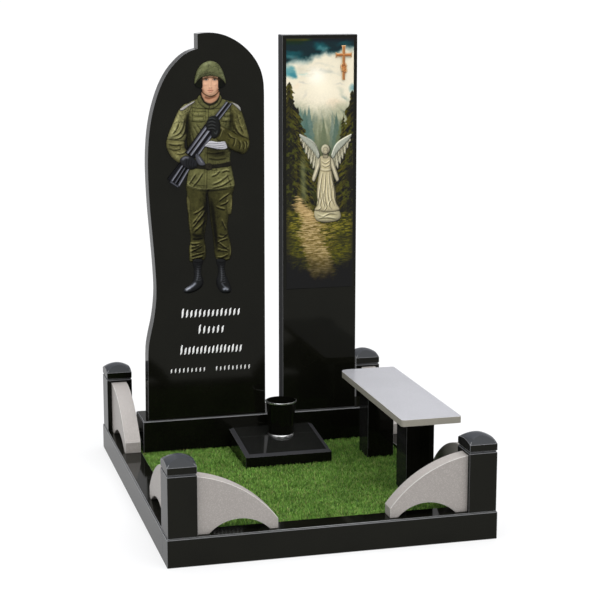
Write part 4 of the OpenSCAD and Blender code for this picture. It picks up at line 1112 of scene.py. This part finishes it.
    # meadow
    meadow = smooth01((V - 208 + wob * 10 - np.clip(U - 300, 0, 30) * 0.12) / 8)
    put((62, 62, 13), meadow)
    blades = fbm(X * 0.55 + Z * 0.12, Z * 2.6, 9, 43, 4)
    patch = fbm(X * 0.6, Z * 1.4, 60, 47, 3)
    put((112, 106, 28), meadow * smooth01((blades - 0.45) / 0.26) * 0.7)
    put((32, 33, 9), meadow * smooth01((0.48 - blades) / 0.22) * 0.7)
    put((46, 44, 10), meadow * smooth01((0.5 - patch) / 0.12) * 0.5)
    put((156, 142, 62), meadow * smooth01((blades - 0.53) / 0.12) * smooth01((240 - V) / 18) * 0.55)
    edge_dark = np.clip(smooth01((293 - U) / 6) + smooth01((U - 347) / 6), 0, 1)
    put((40, 38, 14), meadow * edge_dark * 0.55)
    # path of worn stones, winding and widening towards the viewer
    vv = [194, 199, 204, 209, 213, 218, 224, 231, 238, 246, 254, 262, 270, 278, 286]
    le = np.interp(V, vv, [297.6, 296.6, 295.0, 295.0, 297.6, 301.0, 301.0, 298.6, 299.2, 301.6, 304.0, 307.0, 309.0, 305, 303])
    ri = np.interp(V, vv, [298.6, 301.6, 305.0, 309.6, 314.6, 317.0, 321.6, 322.6, 324.2, 327.0, 330.6, 333.0, 333.6, 334, 334])
    jit = (fbm(X * 0.35, Z * 3.2, 13, 61, 4) - 0.5) * 15
    m = smooth01((U - le + jit + 2) / 6.0) * smooth01((ri - U + jit + 2) / 6.0) * smooth01((V - 193) / 4)
    put((150, 128, 80), m * 0.85)
    slabs = fbm(X * 0.40 + 0.30 * Z, Z * 3.2, 9, 83, 4)
    put((206, 182, 134), m * smooth01((slabs - 0.46) / 0.20) * 0.8)
    put((86, 72, 34), m * smooth01((0.47 - slabs) / 0.18) * 0.75)
    put((214, 178, 126), m * smooth01((228 - V) / 14) * 0.4)
    put((62, 54, 24), m * smooth01((V - 240) / 26) * 0.4)
    # light spilling to the right of the path
    spill = smooth01((U - ri + 2) / 2.5) * smooth01((342 - U) / 12) * smooth01((V - 214) / 5) * smooth01((262 - V) / 30)
    put((182, 158, 92), spill * smooth01((slabs - 0.5) / 0.12) * 0.6)
    put((176, 160, 100), smooth01((le - U + 3) / 3) * smooth01((U - 288) / 7) * smooth01((V - 222) / 5) * smooth01((250 - V) / 20)
        * smooth01((slabs - 0.52) / 0.12) * 0.45)
    # rock, then the angel of stone
    cv.H[:] = 0
    cv.A[:] = 1
    cv.contact_shade = 0.14
    cv.part([(314.2, 213), (316.4, 208.6), (322, 206), (330, 205.6), (336.6, 208.0), (340.4, 212.4), (340.8, 218.0), (335.0, 221.4), (324.0, 222.4),
             (316.4, 220.0)], 2.0, 5.0, 26, (172, 164, 130), ao=0.25)
    for a in ([(317, 213), (323, 216), (330, 213), (338, 214)], [(320, 209.5), (327, 211), (334, 209.8)], [(318, 218), (327, 217), (337, 218.6)]):
        cv.stroke(a, 4.5, 1.8, (206, 198, 164), 0.7)
        cv.stroke([(q[0], q[1] + 1.5) for q in a], 3.0, -1.4, (104, 98, 66), 0.6)
    ST, SH, SD = (184, 173, 138), (228, 218, 186), (100, 92, 62)
    for s in (-1, 1):
        c = 325.6

        def wx(q):
            return [(c + s * (u_ - c) * 1.0, v_) for u_, v_ in q]

        # rows of feathers, long ones first
        for i in range(13):
            f = i / 12.0
            bu, bv = 350.4 - 17.0 * f, 136.2 + 19.0 * f ** 0.85
            tu, tv = 350.8 - 14.2 * f + (0.5 if i % 2 else -0.5), 137.4 + 34.5 * f ** 0.8
            ddu, ddv = tu - bu, tv - bv
            L = max(math.hypot(ddu, ddv), 0.1)
            qn = (-ddv / L * 1.35, ddu / L * 1.35)
            cv.part(wx([(bu + qn[0], bv + qn[1]), ((bu + tu) / 2 + qn[0] * 1.2, (bv + tv) / 2 + qn[1] * 1.2), (tu, tv),
                        ((bu + tu) / 2 - qn[0] * 1.2, (bv + tv) / 2 - qn[1] * 1.2), (bu - qn[0], bv - qn[1])]), 2.0, 2.4, 5,
                    (206, 200, 172) if i % 2 else (170, 166, 140), n=3, ao=0.65, aow=1.6)
        # leading edge of the wing
        cv.part(wx([(351.6, 134.2), (350.8, 137.6), (346.4, 143.0), (341.6, 148.0), (337.2, 153.0), (333.6, 158.4), (331.4, 156.4), (333.0, 150.6),
                    (336.4, 144.4), (341.6, 140.0), (347.0, 136.6)]), 3.4, 2.6, 7, (160, 163, 148), n=4, ao=0.3, aow=2.5)
        cv.stroke(wx([(351.0, 134.6), (344.6, 137.9), (338.6, 141.8), (334.6, 147.2), (331.9, 155.0)]), 3.0, 1.2, (236, 232, 214), 0.9, taper=False)
        for k in range(5):
            cv.stroke(wx([(346.5 - 2.6 * k, 141 + 2.3 * k), (344.2 - 2.2 * k, 146.5 + 3.0 * k), (342.6 - 1.8 * k, 153 + 2.8 * k)]), 1.4, -0.9, SD, 0.55)
    # dress
    cv.part([(320.4, 156.6), (325.4, 155.6), (330.6, 156.8), (332.4, 162), (331.4, 168), (332.6, 174), (334.0, 182), (335.6, 191), (336.2, 199), (337.2, 204),
             (340.0, 209.6), (334.6, 212.0), (327.6, 212.4), (320.6, 211.6), (314.6, 210.0), (318.0, 204.0), (317.0, 196), (317.2, 188), (318.4, 178), (320.2, 168),
             (318.8, 162)], 4.0, 5.0, 20, ST, n=4, ao=0.45, aow=5)
    for a in ([(322.4, 172), (320.4, 184), (319.4, 196), (321.4, 206)], [(325.4, 172), (324.6, 186), (324.4, 198), (327, 208)],
              [(328.6, 172), (329.4, 186), (330.0, 196), (332.6, 206)], [(330.4, 174), (333.0, 186), (334.2, 198), (336.8, 206)],
              [(323.6, 190), (322.6, 200), (325.0, 209)], [(327.4, 184), (327.4, 196), (329.8, 207)], [(319.6, 186), (318.6, 197), (316.8, 207)]):
        cv.stroke(a, 2.7, 1.5, SH, 0.8)
        cv.stroke([(q[0] + 0.85, q[1]) for q in a], 1.9, -1.5, SD, 0.75)
    for a in ([(320.6, 186), (321.6, 196), (319.4, 206)], [(332.0, 184), (330.8, 196), (334.4, 207)], [(322.0, 200), (326.4, 206), (324.0, 211)],
              [(331.6, 199), (328.4, 205), (332.0, 210)], [(318.6, 203), (320.6, 208), (317.4, 210)]):
        cv.stroke(a, 2.2, 1.2, SH, 0.75)
        cv.stroke([(q[0] + 0.8, q[1] + 0.3) for q in a], 1.7, -1.4, (74, 66, 40), 0.7)
    for a in ([(321.4, 160), (325.6, 163.0), (330.0, 160)], [(321.6, 164), (325.6, 166.4), (330.4, 164)]):
        cv.stroke(a, 2.6, 1.0, SH, 0.6)
        cv.stroke([(q[0], q[1] + 1.3) for q in a], 1.9, -0.9, SD, 0.55)
    cv.stroke([(320.8, 169.0), (325.8, 170.2), (331.2, 169.2)], 2.6, 0.8, (214, 204, 172), 0.75, taper=False)
    cv.stroke([(320.8, 170.8), (325.8, 172.0), (331.4, 171.0)], 1.5, -1.0, SD, 0.7, taper=False)
    # arms held down and a little out
    for s in (-1, 1):
        c = 325.6
        cv.part([(c + s * (u_ - c), v_) for u_, v_ in ((331.0, 158.2), (333.6, 160.4), (335.6, 167), (337.6, 173), (339.2, 179.4), (337.0, 182.0), (334.6, 177.6),
                                                     (332.4, 171.0), (330.8, 165.4))], 5.0, 3.6, 9, (184, 176, 148), n=4, ao=0.5, aow=3)
        cv.stroke([(c + s * 6.6, 163), (c + s * 9.0, 171), (c + s * 11.6, 178)], 2.2, 0.8, SH, 0.7)
    # neck, head and hair: a plain small head
    cv.part([(324.0, 152), (327.4, 152), (328.2, 157.4), (325.6, 158.8), (323.0, 157.4)], 5.0, 2.0, 6, (160, 152, 124), n=4)
    cv.part([(325.6 + 4.5 * math.sin(a), 149.6 - 5.2 * math.cos(a)) for a in np.linspace(0, 2 * math.pi, 12, endpoint=False)], 6.0, 4.0, 12,
            (186, 180, 152), n=3, ao=0.4, aow=3)
    cv.part([(325.6 + 2.7 * math.sin(a), 150.8 - 3.9 * math.cos(a)) for a in np.linspace(0, 2 * math.pi, 12, endpoint=False)], 9.6, 1.6, 9,
            (172, 164, 136), n=3, ao=0.5, aow=2.5)
    cv.stroke([(324.2, 150.6), (325.0, 150.4)], 1.2, -0.6, (112, 106, 82), 0.7, taper=False)
    cv.stroke([(326.2, 150.4), (327.0, 150.6)], 1.2, -0.6, (112, 106, 82), 0.7, taper=False)
    cv.stroke([(325.6, 150.8), (325.6, 152.2)], 1.0, 0.7, (200, 192, 164), 0.6, taper=False)
    cv.stroke([(324.9, 153.2), (326.3, 153.2)], 0.9, -0.4, (128, 112, 90), 0.6, taper=False)
    s = cv.shade(1.3, light=(-0.5, 0.6, 0.62), amb=0.45, lo=0.35, hi=1.35)
    C = cv.C * s[..., None]
    # brushwork, then the fade into the black stone
    grain = 0.03 + 0.11 * smooth01((V - 92) / 20)
    C = C * (1 + grain * (fbm(X, Z, 5, 91, 2) - 0.5))[..., None]
    fade = smooth01((V - 250 + wob * 16 - 7 * np.cos((U - 320) / 11)) / 34)
    C = C * (1 - fade[..., None]) + np.array((13, 13, 10.0)) * fade[..., None]
    top = smooth01((V - 37.8) / 1.6)
    C = C * top[..., None] + np.array((12, 14, 13.0)) * (1 - top[..., None])
    col = lin(np.clip(C, 0, 255)) * 0.98 - 0.009
    relief = np.clip(cv.H, 0, 9) * 0.11
    return painted_mesh("picture_on_pillar", cv, np.ones(U.shape, bool), 0.9 + relief, np.clip(col, 0.0012, 0.93), 1369.0, 1369.3)


# ------------------------------------------------------------------ inscription
def inscription():
    """Rows of shallow tapered strokes in the place of the writing; no letters."""
    rows = ((329, 638, 521, 47, 7, 2, 10.0, 5), (414, 555, 435, 46, 3, 2, 10.0, 6), (321, 646, 331, 49, 8, 2, 10.0, 7), (268, 690, 239, 29, 20, 1, 6.6, 8))
    out = []
    for ri, (xa, xb, zb, hgt, slots, per, wid, seed) in enumerate(rows):
        rng = np.random.RandomState(seed)
        co, fa = [], []
        pitch = (xb - xa) / (slots * per)
        for k in range(slots * per):
            if ri == 3 and k in (9, 10):
                continue
            cx = xa + pitch * (k + 0.5)
            first = per == 2 and k == 0
            h = hgt * (1.0 if first else rng.choice([0.72, 0.78, 0.84]))
            lean = hgt * 0.20
            n = 10
            base = len(co)
            cols = []
            for i in range(n + 1):
                t = i / n
                w = wid * (0.18 + 0.82 * math.sin(math.pi * (0.06 + 0.88 * t)) ** 0.7) * 0.5
                px = cx + lean * (t - 0.5) + 1.4 * math.sin(2 * math.pi * t)
                pz = 276 + zb + h * t
                cols.append((px, pz, w))
            for px, pz, w in cols:
                e = 0.5
                for dx, dy in ((-w, -0.4), (-w * 0.92, 0.5), (-w * 0.45, 1.0), (0, 1.15), (w * 0.45, 1.0), (w * 0.92, 0.5), (w, -0.4)):
                    co.append((px + dx, 1369 - dy, pz))
            for i in range(n):
                for j in range(6):
                    a = base + i * 7 + j
                    fa.append((a, a + 1, a + 8, a + 7))
            # blunt ends
            for a0, flip in ((base, True), (base + n * 7, False)):
                fa_ = [(a0, a0 + 1, a0 + 2, a0 + 3), (a0, a0 + 3, a0 + 4, a0 + 5), (a0, a0 + 5, a0 + 6, a0 + 6)]
                for q in fa_[:2]:
                    fa.append(tuple(reversed(q)) if flip else q)
                q = (a0, a0 + 5, a0 + 6)
                tri = tuple(reversed(q)) if flip else q
                fa.append(tri + (tri[2],))
        me = bpy.data.meshes.new("inscription_row_%d" % (ri + 1))
        me.from_pydata([P(*c) for c in co], [], [tuple(dict.fromkeys(f)) for f in fa])
        for p_ in me.polygons:
            p_.use_smooth = True
        me.update()
        o = bpy.data.objects.new(me.name, me)
        scene.collection.objects.link(o)
        out.append(o)
    return out


# ------------------------------------------------------------------------ turf
def turf_pieces(count, pieces):
    """Short blades over the bed, leaving out what stands on it."""
    keep_out = []
    for n_, pad in (("base_beam", -4), ("flower_slab", -3), ("bench_leg_front", -3), ("bench_leg_back", -3), ("post_front_left", -2), ("post_front_right", -2),
                    ("post_back_left", -2), ("post_back_right", -2)):
        b0, b1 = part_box(n_)
        keep_out.append((b0[0] * 1000 - pad * -1, b1[0] * 1000 + pad, b0[1] * 1000 - pad * -1, b1[1] * 1000 + pad))
    t0, t1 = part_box("turf_bed")
    zb = t1[2] * 1000
    out = []
    per = count // pieces
    for k in range(pieces):
        rng = np.random.RandomState(100 + k)
        x = rng.uniform(t0[0] * 1000 + 2, t1[0] * 1000 - 2, per)
        y = rng.uniform(t0[1] * 1000 + 2, t1[1] * 1000 - 2, per)
        ok = np.ones(per, bool)
        for a, b, c, e in keep_out:
            ok &= ~((x > a) & (x < b) & (y > c) & (y < e))
        x, y = x[ok], y[ok]
        n = len(x)
        ang = rng.uniform(0, 2 * math.pi, n)
        hgt = rng.uniform(9.5, 17.0, n) * (0.85 + 0.3 * lattice_noise(x, y, 60, 7))
        lean = rng.uniform(1.0, 9.0, n)
        la = lattice_noise(x, y, 70, 23) * 9 + rng.normal(0, 1.8, n)
        wid = rng.uniform(0.9, 1.5, n)
        wx_, wy_ = np.cos(ang) * wid, np.sin(ang) * wid
        lx, ly = np.cos(la) * lean, np.sin(la) * lean
        co = np.empty((n, 5, 3))
        for i, (s, f, w) in enumerate(((-1, 0.0, 1.0), (1, 0.0, 1.0), (-1, 0.55, 0.8), (1, 0.55, 0.8))):
            co[:, i, 0] = x + s * wx_ * w + lx * f * f
            co[:, i, 1] = y + s * wy_ * w + ly * f * f
            co[:, i, 2] = zb - 0.6 + hgt * f
        co[:, 4, 0], co[:, 4, 1], co[:, 4, 2] = x + lx, y + ly, zb + hgt
        lim_x = (t0[0] * 1000 + 0.4, t1[0] * 1000 - 0.4)
        lim_y = (t0[1] * 1000 + 0.4, t1[1] * 1000 - 0.4)
        co[..., 0] = np.clip(co[..., 0], *lim_x)
        co[..., 1] = np.clip(co[..., 1], *lim_y)
        co = co.reshape(-1, 3) / 1000.0
        base = np.arange(n) * 5
        tri = np.concatenate([np.stack([base, base + 1, base + 3], 1), np.stack([base, base + 3, base + 2], 1),
                              np.stack([base + 2, base + 3, base + 4], 1)])
        tint = rng.uniform(0, 1, n)[:, None]
        patch = lattice_noise(x, y, 85, 41)[:, None] * 0.6 + lattice_noise(x, y, 30, 43)[:, None] * 0.4
        c = (1 - tint) * lin((58, 108, 28)) + tint * lin((146, 186, 90))
        c = c * (0.74 + 0.44 * patch) * (0.62 + 0.80 * lattice_noise(x, y, 8, 61)[:, None])
        dry = (rng.rand(n) < 0.06)[:, None]
        c = np.where(dry, lin((190, 190, 120)) * 0.9, c)
        # painted shade low on each blade and a painted highlight at its tip
        rgb = np.repeat(c[:, None, :], 5, 1) * np.array([0.22, 0.22, 0.85, 0.85, 1.5])[None, :, None]
        out.append(raw_mesh("turf_blades_%d" % (k + 1), co, tri, rgb.reshape(-1, 3), smooth=False))
    return out


M_RELIEF = painted_material("painted_relief", 0.45, 1.4, grain=0.10, bump=0.06, spec=0.12)
M_PICTURE = painted_material("painted_picture", 0.10, 1.26, grain=0.05, bump=0.010)
M_TURF = painted_material("turf_blades", 0.5, 1.35, grain=0.15, bump=0.05, size=400.0, spec=0.3)
M_CROSS = painted_material("cast_bronze", 0.38, 1.45, grain=0.12, bump=0.05, size=700.0, spec=0.5)


def inlay_material():
    k = Nt("inscription_white")
    o = k.obj()
    n1 = k.noise(500.0, 3, 0.6, o)
    c = k.ramp(n1.outputs[0], [(0.3, (0.80, 0.80, 0.78)), (0.7, (0.93, 0.93, 0.92))])
    k.l(c, k.b.inputs["Base Color"])
    k.l(k.maprange(n1.outputs[0], 0.3, 0.7, 0.4, 0.6), k.b.inputs["Roughness"])
    k.l(k.bump(n1.outputs[0], 0.05, 0.0004), k.b.inputs["Normal"])
    return k.m


M_INLAY = inlay_material()

fig = soldier()
fig.data.materials.append(M_RELIEF)
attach(fig, "root")
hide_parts("soldier_relief")

pic = picture()
pic.data.materials.append(M_PICTURE)
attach(pic, "root")
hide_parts("picture_panel")

crs = cross_casting()
crs.data.materials.append(M_CROSS)
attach(crs, "root")
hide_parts("cross")

for row in inscription():
    row.data.materials.append(M_INLAY)
    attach(row, "root")

for t in turf_pieces(150000, 3):
    t.data.materials.append(M_TURF)
    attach(t, "root")

# ------------------------------------------------------------ floor and lights
fm = bpy.data.meshes.new("floor")
fm.from_pydata([(-400, -400, 0), (400, -400, 0), (400, 400, 0), (-400, 400, 0)], [], [(0, 1, 2, 3)])
floor = bpy.data.objects.new("floor", fm)
floor.location = (0, 0, -0.0005)
scene.collection.objects.link(floor)
kf = Nt("floor")
kf.b.inputs["Base Color"].default_value = (0.17, 0.17, 0.17, 1)
kf.b.inputs["Roughness"].default_value = 1.0
kf.b.inputs["Specular IOR Level"].default_value = 0.0
kf.b.inputs["Emission Color"].default_value = (1, 1, 1, 1)
kf.b.inputs["Emission Strength"].default_value = 0.72
floor.data.materials.append(kf.m)

world = bpy.data.worlds.new("studio")
scene.world = world
world.use_nodes = True
wt = world.node_tree
wt.nodes.clear()
wo = wt.nodes.new("ShaderNodeOutputWorld")
wb = wt.nodes.new("ShaderNodeBackground")
wt.links.new(wb.outputs[0], wo.inputs[0])
tc = wt.nodes.new("ShaderNodeTexCoord")
sx = wt.nodes.new("ShaderNodeSeparateXYZ")
wt.links.new(tc.outputs["Generated"], sx.inputs[0])
cr = wt.nodes.new("ShaderNodeValToRGB")
cr.color_ramp.interpolation = "EASE"
el = cr.color_ramp.elements
# bright horizon, dimmer band above it, and a large soft light overhead
el[0].position, el[0].color = 0.0, (0.30, 0.30, 0.30, 1)
el[1].position, el[1].color = 1.0, (0.94, 0.96, 1.0, 1)
for pos, v in ((0.02, 0.30), (0.22, 0.126), (0.60, 0.165), (0.80, 0.74)):
    e = el.new(pos)
    e.color = (v, v, v * 1.02, 1)
wt.links.new(sx.outputs[2], cr.inputs[0])
wt.links.new(cr.outputs[0], wb.inputs[0])
wb.inputs[1].default_value = 3.6


def sun(name, direction, energy, angle):
    ld = bpy.data.lights.new(name, "SUN")
    ld.energy = energy
    ld.angle = math.radians(angle)
    o = bpy.data.objects.new(name, ld)
    o.rotation_euler = Vector(direction).to_track_quat("-Z", "Y").to_euler()
    o.visible_glossy = False
    scene.collection.objects.link(o)
    return o


sun("key", (-0.28, 0.62, -1.0), 1.05, 40.0)

scene.view_settings.view_transform = "Standard"
scene.view_settings.look = "None"
scene.view_settings.exposure = 0.0

# --------------------------------------------------------------------- finish
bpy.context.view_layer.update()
